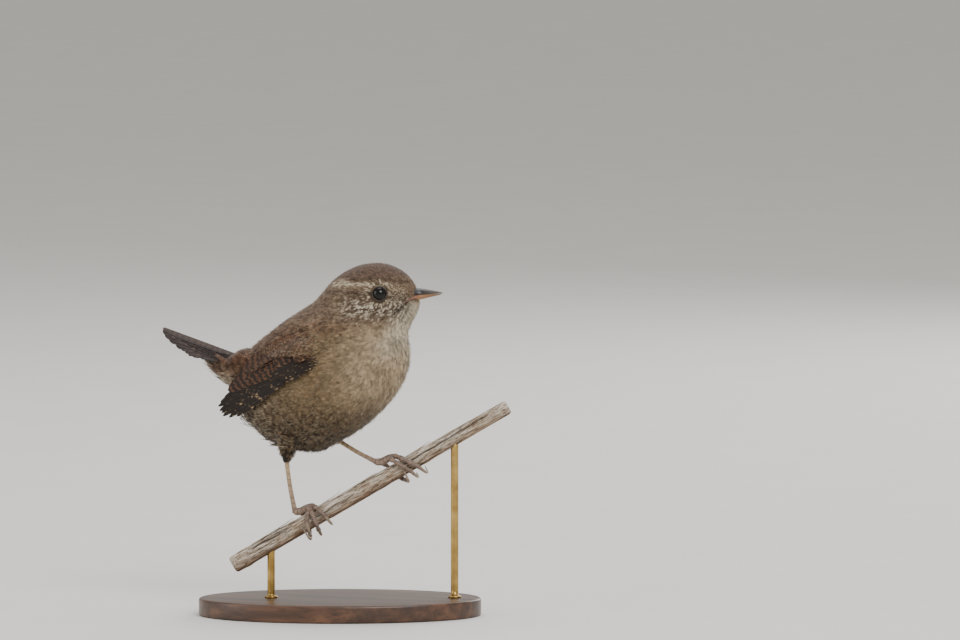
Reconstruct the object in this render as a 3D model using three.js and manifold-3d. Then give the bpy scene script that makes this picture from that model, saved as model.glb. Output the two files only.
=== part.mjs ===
// A wren, life size and still, gripping a cut length of dry stem that two rods hold above a flat base.
// Millimetres. +X is the way the wren faces, +Y is its left and +Z is up. The origin is the middle of the
// base's underside. The wren's body is even about the XZ plane, and its head is turned a little to its left.
import * as THREE from "three";
import { mergeVertices } from "three/addons/utils/BufferGeometryUtils.js";
import Module from "manifold-3d";

const wasm = await Module();
wasm.setup();

// The gap that neighbouring pieces keep
const GAP = 0.3;

// Stand
const BASE_LONG = 96;
const BASE_WIDE = 54;
const BASE_THICK = 6;
const BASE_BEVEL = 0.8;
const ROD_RADIUS = 1.3;
const ROD_PLACES = [-27, 45];

// Perch: a straight stem that rises to the front and crosses under the bird from its right to its left
const PERCH_TURN = 20;
const PERCH_RISE = 30;
const PERCH_HEIGHT = 38.1;
const PERCH_BACK = 42;
const PERCH_FRONT = 66;
const PERCH_RADIUS_BACK = 3.0;
const PERCH_RADIUS_FRONT = 2.5;

// Body, one level for each landmark down from the crown: height, x of its rear and front, half its width,
// x of its widest place, and how much it narrows to the front and to the rear
const LEVELS = [
  { name: "crown", z: 120.4, rear: 12.6, front: 12.6, half: 0, widest: 12.6, narrowFront: 0, narrowRear: 0 },
  { name: "cap", z: 119.5, rear: 6.9, front: 18.6, half: 5.4, widest: 12.6, narrowFront: 0, narrowRear: 0 },
  { name: "forehead", z: 117, rear: 1.6, front: 23.2, half: 8.1, widest: 12.2, narrowFront: 0.1, narrowRear: 0 },
  { name: "brow", z: 113.8, rear: -2.6, front: 26.0, half: 9.4, widest: 11.4, narrowFront: 0.3, narrowRear: 0 },
  { name: "eye", z: 110.4, rear: -5.5, front: 27.6, half: 9.8, widest: 10.6, narrowFront: 0.48, narrowRear: 0 },
  { name: "cheek", z: 107, rear: -8.6, front: 28.1, half: 10.2, widest: 9.5, narrowFront: 0.5, narrowRear: 0 },
  { name: "chin", z: 103.6, rear: -13.8, front: 27.4, half: 10.9, widest: 7, narrowFront: 0.4, narrowRear: 0 },
  { name: "throat", z: 99.6, rear: -20.2, front: 26.0, half: 13.2, widest: 2, narrowFront: 0.25, narrowRear: 0.1 },
  { name: "shoulder", z: 95.6, rear: -25.3, front: 24.8, half: 15.8, widest: -2, narrowFront: 0.15, narrowRear: 0.2 },
  { name: "breast", z: 91.8, rear: -30.4, front: 25.2, half: 17.8, widest: -4, narrowFront: 0.1, narrowRear: 0.35 },
  { name: "rump", z: 87, rear: -33.8, front: 25.0, half: 19.3, widest: -5, narrowFront: 0.05, narrowRear: 0.4 },
  { name: "keel", z: 82.5, rear: -35.2, front: 23.7, half: 20.0, widest: -5.5, narrowFront: 0, narrowRear: 0.4 },
  { name: "flank", z: 77, rear: -35.6, front: 20.8, half: 19.8, widest: -6.5, narrowFront: 0, narrowRear: 0.3 },
  { name: "belly", z: 72, rear: -35.4, front: 16.8, half: 18.4, widest: -8, narrowFront: 0, narrowRear: 0.2 },
  { name: "low belly", z: 67, rear: -34.4, front: 11.8, half: 15.9, widest: -9.5, narrowFront: 0, narrowRear: 0.1 },
  { name: "vent", z: 63, rear: -30.6, front: 6.8, half: 12.9, widest: -11, narrowFront: 0, narrowRear: 0 },
  { name: "thigh", z: 59.6, rear: -26.6, front: 1.1, half: 9.2, widest: -12, narrowFront: 0, narrowRear: 0 },
  { name: "under thigh", z: 57.3, rear: -21.8, front: -4.6, half: 5.4, widest: -12.6, narrowFront: 0, narrowRear: 0 },
  { name: "underside", z: 56.1, rear: -12.8, front: -12.8, half: 0, widest: -12.8, narrowFront: 0, narrowRear: 0 },
];
const BODY_RINGS = 40;
const BODY_SIDES = 40;

// Where the body is parted: a point on each plane and how far it leans back
const HEAD_CUT = { x: 9, z: 101.2, lean: 14 };
const NECK_CUT = { x: 5, z: 95.2, lean: 16 };

// The head's turn to the left, which comes in gradually up the neck
const HEAD_TURN = 10;
const TURN_AXIS_X = 4;
const TURN_FROM = 92;
const TURN_TO = 107;

// Eye
const EYE = { x: 15.3, y: 7.5, z: 110.6, radius: 2.6 };
const LID_RADIUS = 2.45;
const LID_THICK = 0.5;

// Bill
const BILL = { rootX: 23, tipX: 35.7, rootZ: 109.3, tipZ: 110.3, half: 2.1, upper: 2.65, lower: 2.45, droop: 0.15 };
const BILL_PARTING = 0.15;
const NOSTRIL = { x: 28.2, y: 1.05, z: 111.3, long: 1.6, radius: 0.38 };
const GAPE_RADIUS = 0.45;

// Wing, drawn on the bird's side: the wrist, the wing's slope down to its tip, the line that it leaves the body on
// and its feathers' thickness and roll
const WRIST = { x: 1.5, z: 91.2 };
const WING_SLOPE = 29.5;
const WING_TIP = { x: -40, y: 8.6, slant: 0.36 };
const WING_EASE = 1.5;
const VANE_THICK = 0.55;
const VANE_ROLL = 0.1;
const VANE_ROWS = 4;
const VANE_ROOT_LIFT = 0.15;
const VANE_SLOPES_TO = 0.6;

// Tail and its coverts, along a line that rises to the rear
const TAIL_ROOT = { x: -34.5, z: 86.9 };
const TAIL_RISE = 17.6;
const TAIL_LONG = 31;
const TAIL_STEP = 0.36;
const TAIL_SPREAD = 0.82;
const TAIL_DROP = 0.24;
const TAIL_TENT = 0.7;
const TAIL_VANE_WIDE = 4.4;
const COVERT_SIDES = 18;

// Legs
const HIP = { x: -14, y: 8.6, z: 61 };
const RIGHT_ANKLE = { x: -16.3, y: -8, z: 53.4 };
const LEFT_ANKLE = { x: -4.2, y: 9, z: 58.9 };
const RIGHT_FOOT_PLACE = -12.2;
const LEFT_FOOT_PLACE = 20.2;
const TARSUS_RADIUS = 0.75;
const TOE_RADIUS = 0.75;
const PAD_RADIUS = 1.25;
const SHANK_SUNK = 1.5;

const toRadians = THREE.MathUtils.degToRad;
const vec = (x, y, z) => new THREE.Vector3(x, y, z);
const smooth = (value, from, to) => THREE.MathUtils.smoothstep(value, from, to);
const mix = THREE.MathUtils.lerp;

// Solids

// A closed solid from points and triangles, turned to face out.
function solidFrom(points, faces) {
  const position = new Float32Array(points.flatMap((p) => [p.x, p.y, p.z]));
  const volume = faces.reduce((sum, [a, b, c]) => sum + points[a].dot(points[b].clone().cross(points[c])), 0);
  const index = faces.flatMap(([a, b, c]) => (volume < 0 ? [a, c, b] : [a, b, c]));
  const geometry = new THREE.BufferGeometry();
  geometry.setAttribute("position", new THREE.BufferAttribute(position, 3));
  geometry.setIndex(index);
  return solidOf(geometry);
}

function solidOf(geometry) {
  const loose = geometry.index ? geometry.toNonIndexed() : geometry;
  const bare = new THREE.BufferGeometry().setAttribute("position", loose.getAttribute("position"));
  const merged = mergeVertices(bare, 1e-4);
  return new wasm.Manifold(
    new wasm.Mesh({
      numProp: 3,
      vertProperties: merged.attributes.position.array,
      triVerts: new Uint32Array(merged.index.array),
    }),
  );
}

const join = (solids) => solids.reduce((whole, solid) => whole.add(solid));

// The largest closed surface of a solid, as a geometry.
function geometryOf(solid) {
  const largest = solid.decompose().reduce((a, b) => (b.volume() > a.volume() ? b : a));
  const mesh = largest.getMesh();
  const position = new Float32Array(mesh.numVert * 3);
  for (let i = 0; i < mesh.numVert; i++) {
    position.set(mesh.vertProperties.subarray(i * mesh.numProp, i * mesh.numProp + 3), i * 3);
  }
  const geometry = new THREE.BufferGeometry();
  geometry.setAttribute("position", new THREE.BufferAttribute(position, 3));
  geometry.setIndex(new THREE.BufferAttribute(mesh.triVerts, 1));
  geometry.computeVertexNormals();
  return geometry;
}

// A closed skin over rings of equal length, with a point or a flat fan at each end.
function loft(rings) {
  const points = rings.flat();
  const sides = rings[0].length;
  const faces = [];
  for (let i = 0; i + 1 < rings.length; i++) {
    for (let j = 0; j < sides; j++) {
      const a = i * sides + j;
      const b = i * sides + ((j + 1) % sides);
      faces.push([a, b, b + sides], [a, b + sides, a + sides]);
    }
  }
  for (const [ring, turn] of [[0, -1], [rings.length - 1, 1]]) {
    const middle = rings[ring].reduce((sum, p) => sum.add(p), vec(0, 0, 0)).divideScalar(sides);
    points.push(middle);
    for (let j = 0; j < sides; j++) {
      const a = ring * sides + j;
      const b = ring * sides + ((j + 1) % sides);
      faces.push(turn > 0 ? [a, b, points.length - 1] : [b, a, points.length - 1]);
    }
  }
  return solidFrom(points, faces);
}

// A tapering round limb along a curve. radiusAt gives its radius at each share of its length.
function limb(curve, radiusAt, steps, sides) {
  const frames = curve.computeFrenetFrames(steps, false);
  const rings = [];
  for (let i = 0; i <= steps; i++) {
    const centre = curve.getPointAt(i / steps);
    const radius = radiusAt(i / steps);
    const ring = [];
    for (let j = 0; j < sides; j++) {
      const angle = (j / sides) * 2 * Math.PI;
      ring.push(
        centre
          .clone()
          .addScaledVector(frames.normals[i], radius * Math.cos(angle))
          .addScaledVector(frames.binormals[i], radius * Math.sin(angle)),
      );
    }
    rings.push(ring);
  }
  return loft(rings);
}

// A thin closed sheet of rows and columns. at gives its points, with face 1 outside and 0 inside, and both
// faces are split into triangles alike.
function sheet(rows, columns, at) {
  const points = [];
  const faces = [];
  const layer = (rows + 1) * (columns + 1);
  const index = (i, j, face) => face * layer + i * (columns + 1) + j;
  for (const face of [0, 1]) {
    for (let i = 0; i <= rows; i++) {
      for (let j = 0; j <= columns; j++) points.push(at(i / rows, j / columns, face));
    }
  }
  for (let i = 0; i < rows; i++) {
    for (let j = 0; j < columns; j++) {
      const quad = (face) => [index(i, j, face), index(i + 1, j, face), index(i + 1, j + 1, face), index(i, j + 1, face)];
      const [a, b, c, d] = quad(1);
      const [e, f, g, h] = quad(0);
      faces.push([a, b, c], [a, c, d], [e, g, f], [e, h, g]);
    }
  }
  const wall = (i0, j0, i1, j1) => {
    const [a, b, c, d] = [index(i0, j0, 1), index(i1, j1, 1), index(i1, j1, 0), index(i0, j0, 0)];
    faces.push([a, c, b], [a, d, c]);
  };
  for (let i = 0; i < rows; i++) {
    wall(i, 0, i + 1, 0);
    wall(i + 1, columns, i, columns);
  }
  for (let j = 0; j < columns; j++) {
    wall(0, j + 1, 0, j);
    wall(rows, j, rows, j + 1);
  }
  return solidFrom(points, faces);
}

// Everything on one side of a plane through a point, as a large box.
function beyond(point, normal) {
  const reach = 300;
  const geometry = new THREE.BoxGeometry(reach, reach, reach);
  geometry.translate(0, 0, reach / 2);
  geometry.applyQuaternion(new THREE.Quaternion().setFromUnitVectors(vec(0, 0, 1), normal));
  geometry.translate(point.x, point.y, point.z);
  return solidOf(geometry);
}

// Body

// The head's turn, as any point of the bird at rest goes through it.
function turned(point) {
  const angle = toRadians(HEAD_TURN) * smooth(point.z, TURN_FROM, TURN_TO);
  return point
    .clone()
    .sub(vec(TURN_AXIS_X, 0, 0))
    .applyAxisAngle(vec(0, 0, 1), angle)
    .add(vec(TURN_AXIS_X, 0, 0));
}

// A level between the landmarks, on a smooth line through them that closes over the crown and the underside.
function levelAt(place) {
  const last = LEVELS.length - 1;
  const before = Math.min(Math.floor(place), last - 1);
  const share = place - before;
  const value = (i, key) => {
    if (i >= 0 && i <= last) return LEVELS[i][key];
    const [pole, next] = i < 0 ? [LEVELS[0], LEVELS[1]] : [LEVELS[last], LEVELS[last - 1]];
    if (key === "half") return -next.half;
    if (key === "rear") return 2 * pole.rear - next.rear;
    if (key === "front") return 2 * pole.front - next.front;
    return next[key];
  };
  const level = {};
  for (const key of ["z", "rear", "front", "half", "widest", "narrowFront", "narrowRear"]) {
    const [a, b, c, d] = [-1, 0, 1, 2].map((step) => value(before + step, key));
    const slope = (b1, b0) => (b1 - b0) / 2;
    const s2 = share * share;
    const s3 = s2 * share;
    level[key] =
      (2 * s3 - 3 * s2 + 1) * b + (s3 - 2 * s2 + share) * slope(c, a) + (3 * s2 - 2 * s3) * c + (s3 - s2) * slope(d, b);
  }
  return level;
}

// A point of the body at a level and an angle from the front, before the head turns.
function bodyPoint(place, angle) {
  const level = levelAt(place);
  const along = Math.cos(angle);
  const reach = along > 0 ? level.front - level.widest : level.widest - level.rear;
  const narrow = along > 0 ? level.narrowFront : level.narrowRear;
  return vec(
    level.widest + reach * along,
    level.half * Math.sin(angle) * (1 - narrow * along * along),
    level.z,
  );
}

// The body, grown by a margin over all its surface.
function bodySolid(margin) {
  const last = LEVELS.length - 1;
  const nudge = 0.02;
  const rings = [];
  for (let i = 0; i <= BODY_RINGS; i++) {
    const place = mix(0.12, last - 0.12, i / BODY_RINGS);
    const ring = [];
    for (let j = 0; j < BODY_SIDES; j++) {
      const angle = (j / BODY_SIDES) * 2 * Math.PI;
      const down = bodyPoint(place + nudge, angle).sub(bodyPoint(place - nudge, angle));
      const around = bodyPoint(place, angle + nudge).sub(bodyPoint(place, angle - nudge));
      const out = around.cross(down).normalize().negate();
      ring.push(turned(bodyPoint(place, angle).addScaledVector(out, margin)));
    }
    rings.push(ring);
  }
  return loft(rings);
}

const bodyWhole = bodySolid(0);
const bodyGrown = bodySolid(GAP);

const cutPlane = (cut) => ({
  point: vec(cut.x, 0, cut.z),
  up: vec(Math.sin(toRadians(cut.lean)), 0, Math.cos(toRadians(cut.lean))),
});
const headPlane = cutPlane(HEAD_CUT);
const neckPlane = cutPlane(NECK_CUT);
const under = (plane) => beyond(plane.point.clone().addScaledVector(plane.up, -GAP), plane.up.clone().negate());
const over = (plane) => beyond(plane.point, plane.up);

// Bill, upper and lower halves that part along the mouth

// One half of the bill, grown by a margin, from root to tip. way is 1 above the mouth and -1 below.
function billHalf(way, margin) {
  const steps = 7;
  const sides = 8;
  const rings = [];
  for (let i = 0; i <= steps; i++) {
    const share = i / steps;
    const taper = Math.pow(1 - 0.95 * share, 0.78);
    const depth = (way > 0 ? BILL.upper : BILL.lower) * taper + 2 * margin;
    const half = BILL.half * taper * (way > 0 ? 1 : 0.9) + margin;
    const x = mix(BILL.rootX, BILL.tipX - (way > 0 ? 0 : 0.5), share) - (i === 0 ? margin : 0);
    const mouth = mix(BILL.rootZ, BILL.tipZ, share) + BILL.droop * Math.sin(Math.PI * share) + way * (BILL_PARTING - margin);
    const ring = [];
    for (let j = 0; j <= sides; j++) {
      const angle = (j / sides) * Math.PI;
      ring.push(turned(vec(x, half * Math.cos(angle), mouth + way * depth * Math.pow(Math.sin(angle), 0.8))));
    }
    rings.push(ring);
  }
  return loft(rings);
}

function nostril(side) {
  const hole = new THREE.SphereGeometry(NOSTRIL.radius, 8, 6);
  hole.scale(NOSTRIL.long / NOSTRIL.radius / 2, 1, 1);
  const place = turned(vec(NOSTRIL.x, side * NOSTRIL.y, NOSTRIL.z));
  hole.translate(place.x, place.y, place.z);
  return solidOf(hole);
}

const billUpper = billHalf(1, 0).subtract(nostril(1)).subtract(nostril(-1));
const billLower = billHalf(-1, 0);
const billRoots = join([billHalf(1, GAP), billHalf(-1, GAP)]);

// Eyes, each a ball in a socket with a ring of lid

const eyeCentre = (side) => turned(vec(EYE.x, side * EYE.y, EYE.z));
const eyeOut = (side) => {
  const out = vec(0.2, side, 0.06).normalize();
  return out.applyAxisAngle(vec(0, 0, 1), toRadians(HEAD_TURN));
};

function ball(side, radius, detail) {
  const geometry = new THREE.SphereGeometry(radius, detail, detail * 0.75);
  geometry.rotateX((side * Math.PI) / 2);
  const centre = eyeCentre(side);
  geometry.translate(centre.x, centre.y, centre.z);
  return solidOf(geometry);
}

function lid(side) {
  const geometry = new THREE.TorusGeometry(LID_RADIUS, LID_THICK, 6, 20);
  geometry.applyQuaternion(new THREE.Quaternion().setFromUnitVectors(vec(0, 0, 1), eyeOut(side)));
  const place = eyeCentre(side).addScaledVector(eyeOut(side), Math.sqrt(EYE.radius ** 2 - LID_RADIUS ** 2 * 0.72));
  geometry.translate(place.x, place.y, place.z);
  return solidOf(geometry);
}

// The groove that carries the mouth's line back under the eye.
function gape(side) {
  const line = new THREE.CatmullRomCurve3([
    turned(vec(29, side * 1.6, 109.5)),
    turned(vec(26.6, side * 3.1, 108.8)),
    turned(vec(24.2, side * 5.3, 107.6)),
    turned(vec(22.6, side * 7.0, 106.2)),
  ]);
  return limb(line, () => GAPE_RADIUS, 5, 6);
}

const sides = [-1, 1];
const head = sides.reduce(
  (solid, side) => solid.subtract(gape(side)).add(lid(side)).subtract(ball(side, EYE.radius + GAP, 16)),
  bodyWhole.intersect(over(headPlane)).subtract(billRoots),
);
const neck = bodyWhole.intersect(under(headPlane)).intersect(over(neckPlane));
const torso = bodyWhole.intersect(under(neckPlane));

// Wings

const wingWay = vec(-Math.cos(toRadians(WING_SLOPE)), 0, -Math.sin(toRadians(WING_SLOPE)));
const wingUp = vec(-Math.sin(toRadians(WING_SLOPE)), 0, Math.cos(toRadians(WING_SLOPE)));

// Half the body's width at a height and a distance forward, or 0 past its ends.
function bodyHalfAt(x, z) {
  let [upper, lower] = [0, LEVELS.length - 1];
  for (let i = 0; i < 20; i++) {
    const middle = (upper + lower) / 2;
    if (levelAt(middle).z > z) upper = middle;
    else lower = middle;
  }
  const level = levelAt(upper);
  const ahead = x > level.widest;
  const reach = ahead ? level.front - level.widest : level.widest - level.rear;
  const along = Math.min(Math.abs(x - level.widest) / reach, 1);
  const narrow = ahead ? level.narrowFront : level.narrowRear;
  return level.half * Math.sqrt(1 - along * along) * (1 - narrow * along * along);
}

// A point on a wing, at a distance along from the wrist, across its slope and out from the surface it lies on,
// which is the body's side at the front and a plane clear of the rump at the rear.
function wingPoint(side, along, across, lift) {
  const flat = vec(WRIST.x, 0, WRIST.z).addScaledVector(wingWay, along).addScaledVector(wingUp, across);
  const body = bodyHalfAt(flat.x, flat.z);
  const free = WING_TIP.y + WING_TIP.slant * (flat.x - WING_TIP.x);
  const nearer = Math.min(1, Math.max(0, (flat.x - WRIST.x) / -20));
  const surface = mix(body, (body + free + Math.hypot(body - free, WING_EASE)) / 2, nearer);
  return flat.setY(side * (surface + GAP + lift));
}

// Feather tracts of the folded wing, each from its uppermost feather to its lowest: places along and across the
// wing of the roots and tips, width, and how far the feathers' undersides stand out from the shell
const TRACTS = [
  {
    name: "primaries",
    roots: [[14, 1], [14, -1.6]],
    tips: [[43, 4.6], [45, 3.4], [46.4, 2.1], [46.8, 0.8], [46, -0.5], [44, -1.7], [40.5, -2.8]],
    width: 3.8,
    lifts: [0.6, 0.1],
  },
  {
    name: "secondaries",
    roots: [[9, 7.4], [9, 1.4]],
    tips: [[33, 8.9], [35.2, 8.3], [37.2, 7.6], [39, 6.8], [40.6, 5.9]],
    width: 4.8,
    lifts: [1.1, 0.75],
  },
  {
    name: "tertials",
    roots: [[9, 8.6], [9, 7.4]],
    tips: [[23.5, 9.6], [27.5, 9.6], [31, 9.2]],
    width: 5.4,
    lifts: [1.5, 1.25],
  },
  {
    name: "primary coverts",
    roots: [[4, -0.4], [3.4, -2]],
    tips: [[20, -0.6], [18, -1.9], [15, -3]],
    width: 3,
    lifts: [1.0, 0.75],
  },
  {
    name: "greater coverts",
    roots: [[4.5, 8.2], [4.5, -0.4]],
    tips: [[14.5, 9.8], [16, 7.9], [17, 5.9], [17.6, 3.9], [17.8, 1.9], [17.4, 0]],
    width: 4.6,
    lifts: [1.5, 1.05],
  },
  {
    name: "median coverts",
    roots: [[0.5, 7.8], [0.5, 0.6]],
    tips: [[8.2, 9.2], [9.4, 7], [10, 4.8], [10, 2.6], [9.2, 0.6]],
    width: 4.4,
    lifts: [1.7, 1.3],
  },
];

// How wide a vane is at each share of its length: narrow at the quill and rounded at the tip.
function vaneWidth(share) {
  const quill = mix(0.5, 1, smooth(share, 0, 0.35));
  const tip = share > 0.75 ? Math.sqrt(1 - 0.86 * ((share - 0.75) / 0.25) ** 2) : 1;
  return quill * tip;
}

// Rows crowd towards the tip, where the outline turns.
const vaneShare = (share) => Math.sin((share * Math.PI) / 2);

function wingVane(side, root, tip, width, lift) {
  const run = [tip[0] - root[0], tip[1] - root[1]];
  const long = Math.hypot(...run);
  return sheet(VANE_ROWS, 1, (row, column, face) => {
    const share = vaneShare(row);
    const off = ((2 * column - 1) * width * vaneWidth(share)) / 2;
    const along = root[0] + run[0] * share - (run[1] / long) * off;
    const across = root[1] + run[1] * share + (run[0] / long) * off;
    const rise = mix(VANE_ROOT_LIFT, lift, Math.min(1, share / VANE_SLOPES_TO));
    return wingPoint(side, along, across, rise - VANE_ROLL * off + face * VANE_THICK);
  });
}

function tractVanes(side, tract) {
  const last = tract.tips.length - 1;
  return tract.tips.map((tip, i) => {
    const share = i / last;
    const root = [mix(tract.roots[0][0], tract.roots[1][0], share), mix(tract.roots[0][1], tract.roots[1][1], share)];
    return wingVane(side, root, tip, tract.width, mix(tract.lifts[0], tract.lifts[1], share));
  });
}

// The wing's own flesh and down under the feathers.
function wingCore(side) {
  return sheet(8, 3, (share, over, face) => {
    const low = mix(-1.4, 0.6, share);
    const high = mix(8, 7.6, share);
    const thick = mix(0.3, 1, smooth(share, 0, 0.2)) * mix(1.2, 0.8, share);
    return wingPoint(side, mix(0.2, 27, share), mix(low, high, over), face * thick);
  });
}

const wing = (side) => join([wingCore(side), ...TRACTS.flatMap((tract) => tractVanes(side, tract))]);

// Tail

const tailWay = vec(-Math.cos(toRadians(TAIL_RISE)), 0, Math.sin(toRadians(TAIL_RISE)));
const tailUp = vec(Math.sin(toRadians(TAIL_RISE)), 0, Math.cos(toRadians(TAIL_RISE)));
const tailPoint = (along, across, lift) =>
  vec(TAIL_ROOT.x, across, TAIL_ROOT.z).addScaledVector(tailWay, along).addScaledVector(tailUp, lift);

// How far the folded tail slopes down to each side of its middle.
const tailTent = (across) => -TAIL_TENT * (Math.hypot(across, 1) - 1);

// One of the six feathers on a side of the tail, from the middle pair on top to the outermost underneath.
function tailVane(side, rank) {
  const long = TAIL_LONG - TAIL_STEP * rank * rank;
  return sheet(VANE_ROWS, 2, (row, column, face) => {
    const share = vaneShare(row);
    const middle = mix(0.25 + 0.25 * rank, 0.8 + TAIL_SPREAD * rank, share);
    const off = ((2 * column - 1) * TAIL_VANE_WIDE * vaneWidth(share)) / 2;
    const across = side * middle + off;
    const drop = tailTent(across) - TAIL_DROP * (rank + (side > 0 ? 0.4 : 0));
    return tailPoint(long * share, across, drop + face * VANE_THICK);
  });
}

const tail = join([-1, 1].flatMap((side) => [0, 1, 2, 3, 4, 5].map((rank) => tailVane(side, rank))));

// The room that the coverts leave for the tail's root.
const tailSocket = sheet(4, 4, (share, over, face) => {
  const across = (2 * over - 1) * mix(3, 8.4, share);
  const under = -TAIL_DROP * 5.4 - 1.6 * GAP;
  return tailPoint(mix(-GAP, 20, share), across, tailTent(across) + (face ? VANE_THICK + 1.6 * GAP : under));
});

// The coverts that clothe the tail's root: distance along, and how far they reach up, down and to each side
const COVERTS = [
  { along: -7, up: 3, down: 9, half: 7.5 },
  { along: 0, up: 2.4, down: 10.6, half: 7.2 },
  { along: 3, up: 1.6, down: 10.4, half: 6.4 },
  { along: 6.5, up: 0.9, down: 8.8, half: 5.6 },
  { along: 10.8, up: 0.6, down: 6.4, half: 4.4 },
  { along: 14.2, up: 0.4, down: 4.4, half: 2.4 },
];
const coverts = loft(
  COVERTS.map((station) => {
    const ring = [];
    for (let j = 0; j < COVERT_SIDES; j++) {
      const angle = (j / COVERT_SIDES) * 2 * Math.PI;
      const height = Math.sin(angle) * (Math.sin(angle) > 0 ? station.up : station.down);
      ring.push(tailPoint(station.along, station.half * Math.cos(angle), height));
    }
    return ring;
  }),
)
  .subtract(bodyGrown)
  .subtract(tailSocket);

// Perch

const perchWay = vec(
  Math.cos(toRadians(PERCH_RISE)) * Math.cos(toRadians(PERCH_TURN)),
  Math.cos(toRadians(PERCH_RISE)) * Math.sin(toRadians(PERCH_TURN)),
  Math.sin(toRadians(PERCH_RISE)),
);
const perchNear = vec(Math.sin(toRadians(PERCH_TURN)), -Math.cos(toRadians(PERCH_TURN)), 0);
const perchUp = perchNear.clone().cross(perchWay).normalize();
const perchRadius = (along) =>
  mix(PERCH_RADIUS_BACK, PERCH_RADIUS_FRONT, (along + PERCH_BACK) / (PERCH_BACK + PERCH_FRONT));

// A point round the perch: along it, turned from its top towards the bird's right, and out from its axis.
function roundPerch(along, turn, out) {
  return vec(0, 0, PERCH_HEIGHT)
    .addScaledVector(perchWay, along)
    .addScaledVector(perchUp, out * Math.cos(toRadians(turn)))
    .addScaledVector(perchNear, out * Math.sin(toRadians(turn)));
}

function perchSolid(margin) {
  const line = new THREE.LineCurve3(
    roundPerch(-PERCH_BACK - margin, 0, 0),
    roundPerch(PERCH_FRONT + margin, 0, 0),
  );
  const radiusAt = (share) => perchRadius(mix(-PERCH_BACK, PERCH_FRONT, share)) + margin;
  return limb(line, radiusAt, 8, 14);
}
const perch = perchSolid(0);
const perchGrown = perchSolid(GAP);

// Legs and feet

// The four toes of each foot: how far along the perch and round it the toe starts and ends, and its claw's length
const TOES = {
  right: [
    { name: "hallux", from: [-0.6, -30], to: [-2.2, -190], claw: 4.4 },
    { name: "inner", from: [2.2, 24], to: [-0.4, 86], claw: 3.0 },
    { name: "middle", from: [3.0, 12], to: [1.4, 146], claw: 3.0 },
    { name: "outer", from: [3.9, 4], to: [6.1, 104], claw: 3.2 },
  ],
  left: [
    { name: "hallux", from: [-0.6, -30], to: [3.6, -196], claw: 4.2 },
    { name: "inner", from: [2.6, 24], to: [7.0, 116], claw: 2.2 },
    { name: "middle", from: [4.2, 8], to: [10.6, 110], claw: 3.6 },
    { name: "outer", from: [3.4, -14], to: [8.4, -100], claw: 3.2 },
  ],
};
const FOOT_PLACES = { right: RIGHT_FOOT_PLACE, left: LEFT_FOOT_PLACE };
const ANKLES = { right: RIGHT_ANKLE, left: LEFT_ANKLE };

function toeCurve(place, toe) {
  const points = [];
  for (let i = 0; i <= 6; i++) {
    const along = place + mix(toe.from[0], toe.to[0], i / 6);
    const turn = mix(toe.from[1], toe.to[1], i / 6);
    points.push(roundPerch(along, turn, perchRadius(along) + TOE_RADIUS + GAP));
  }
  return new THREE.CatmullRomCurve3(points);
}

// A claw's curve, on from the toe's end and curling in under the perch.
function clawCurve(place, toe) {
  const way = Math.sign(toe.to[1] - toe.from[1]);
  const slant = (toe.to[0] - toe.from[0]) / (toe.to[1] - toe.from[1]);
  const points = [];
  for (let i = 0; i <= 4; i++) {
    const turn = toe.to[1] + way * (5 + (i / 4) * toe.claw * 12);
    const along = place + toe.to[0] + (turn - toe.to[1]) * slant;
    points.push(roundPerch(along, turn, perchRadius(along) + TOE_RADIUS * 1.3 + GAP - 0.25 * Math.abs(i - 2)));
  }
  return new THREE.CatmullRomCurve3(points);
}

const toeRadius = (share) => TOE_RADIUS * (1 - 0.12 * share) * (1 + 0.09 * Math.cos(share * 6 * Math.PI));
const clawRadius = (share) => 0.5 * Math.pow(1 - 0.86 * share, 0.8);

function foot(side) {
  const place = FOOT_PLACES[side];
  const padHeight = perchRadius(place) + GAP + PAD_RADIUS * 0.7;
  const pad = limb(
    new THREE.CatmullRomCurve3([
      roundPerch(place - 2.2, -6, padHeight + 0.9),
      roundPerch(place - 0.6, -4, padHeight),
      roundPerch(place + 2, 4, padHeight),
      roundPerch(place + 4, 4, padHeight - 0.2),
    ]),
    (share) => PAD_RADIUS * (0.85 + 0.2 * Math.sin(Math.PI * share) - 0.25 * share),
    5,
    8,
  );
  const toes = TOES[side].map((toe) => limb(toeCurve(place, toe), toeRadius, 8, 7));
  return join([pad, ...toes]).subtract(perchGrown);
}

// The bare shank, from inside the feathered ankle down to the foot, grown by a margin.
function tarsus(side, margin) {
  const ankle = vec(ANKLES[side].x, ANKLES[side].y, ANKLES[side].z);
  const place = FOOT_PLACES[side];
  const end = roundPerch(place - 2.4, -6, perchRadius(place) + GAP + PAD_RADIUS * 0.7 + 0.9);
  const way = end.clone().sub(ankle).normalize();
  const line = new THREE.CatmullRomCurve3([
    ankle.clone().addScaledVector(way, -margin - SHANK_SUNK),
    ankle.clone().lerp(end, 0.5).add(vec(-0.3, 0, -0.2)),
    end.clone().addScaledVector(way, margin),
  ]);
  return limb(line, (share) => TARSUS_RADIUS * (1 + 0.35 * (2 * share - 1) ** 4) + margin, 6, 8);
}

// The feathered lower thigh, a cone of short feathers from the belly to the ankle.
function thigh(side) {
  const ankle = vec(ANKLES[side].x, ANKLES[side].y, ANKLES[side].z);
  const hip = vec(mix(HIP.x, ankle.x, 0.5), Math.sign(ankle.y) * HIP.y, HIP.z + 2);
  const end = ankle.clone().addScaledVector(ankle.clone().sub(hip).normalize(), 0.6);
  const line = new THREE.CatmullRomCurve3([hip, hip.clone().lerp(end, 0.55), end]);
  return limb(line, (share) => mix(3.9, 1.25, Math.pow(share, 0.8)), 6, 12);
}

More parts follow.
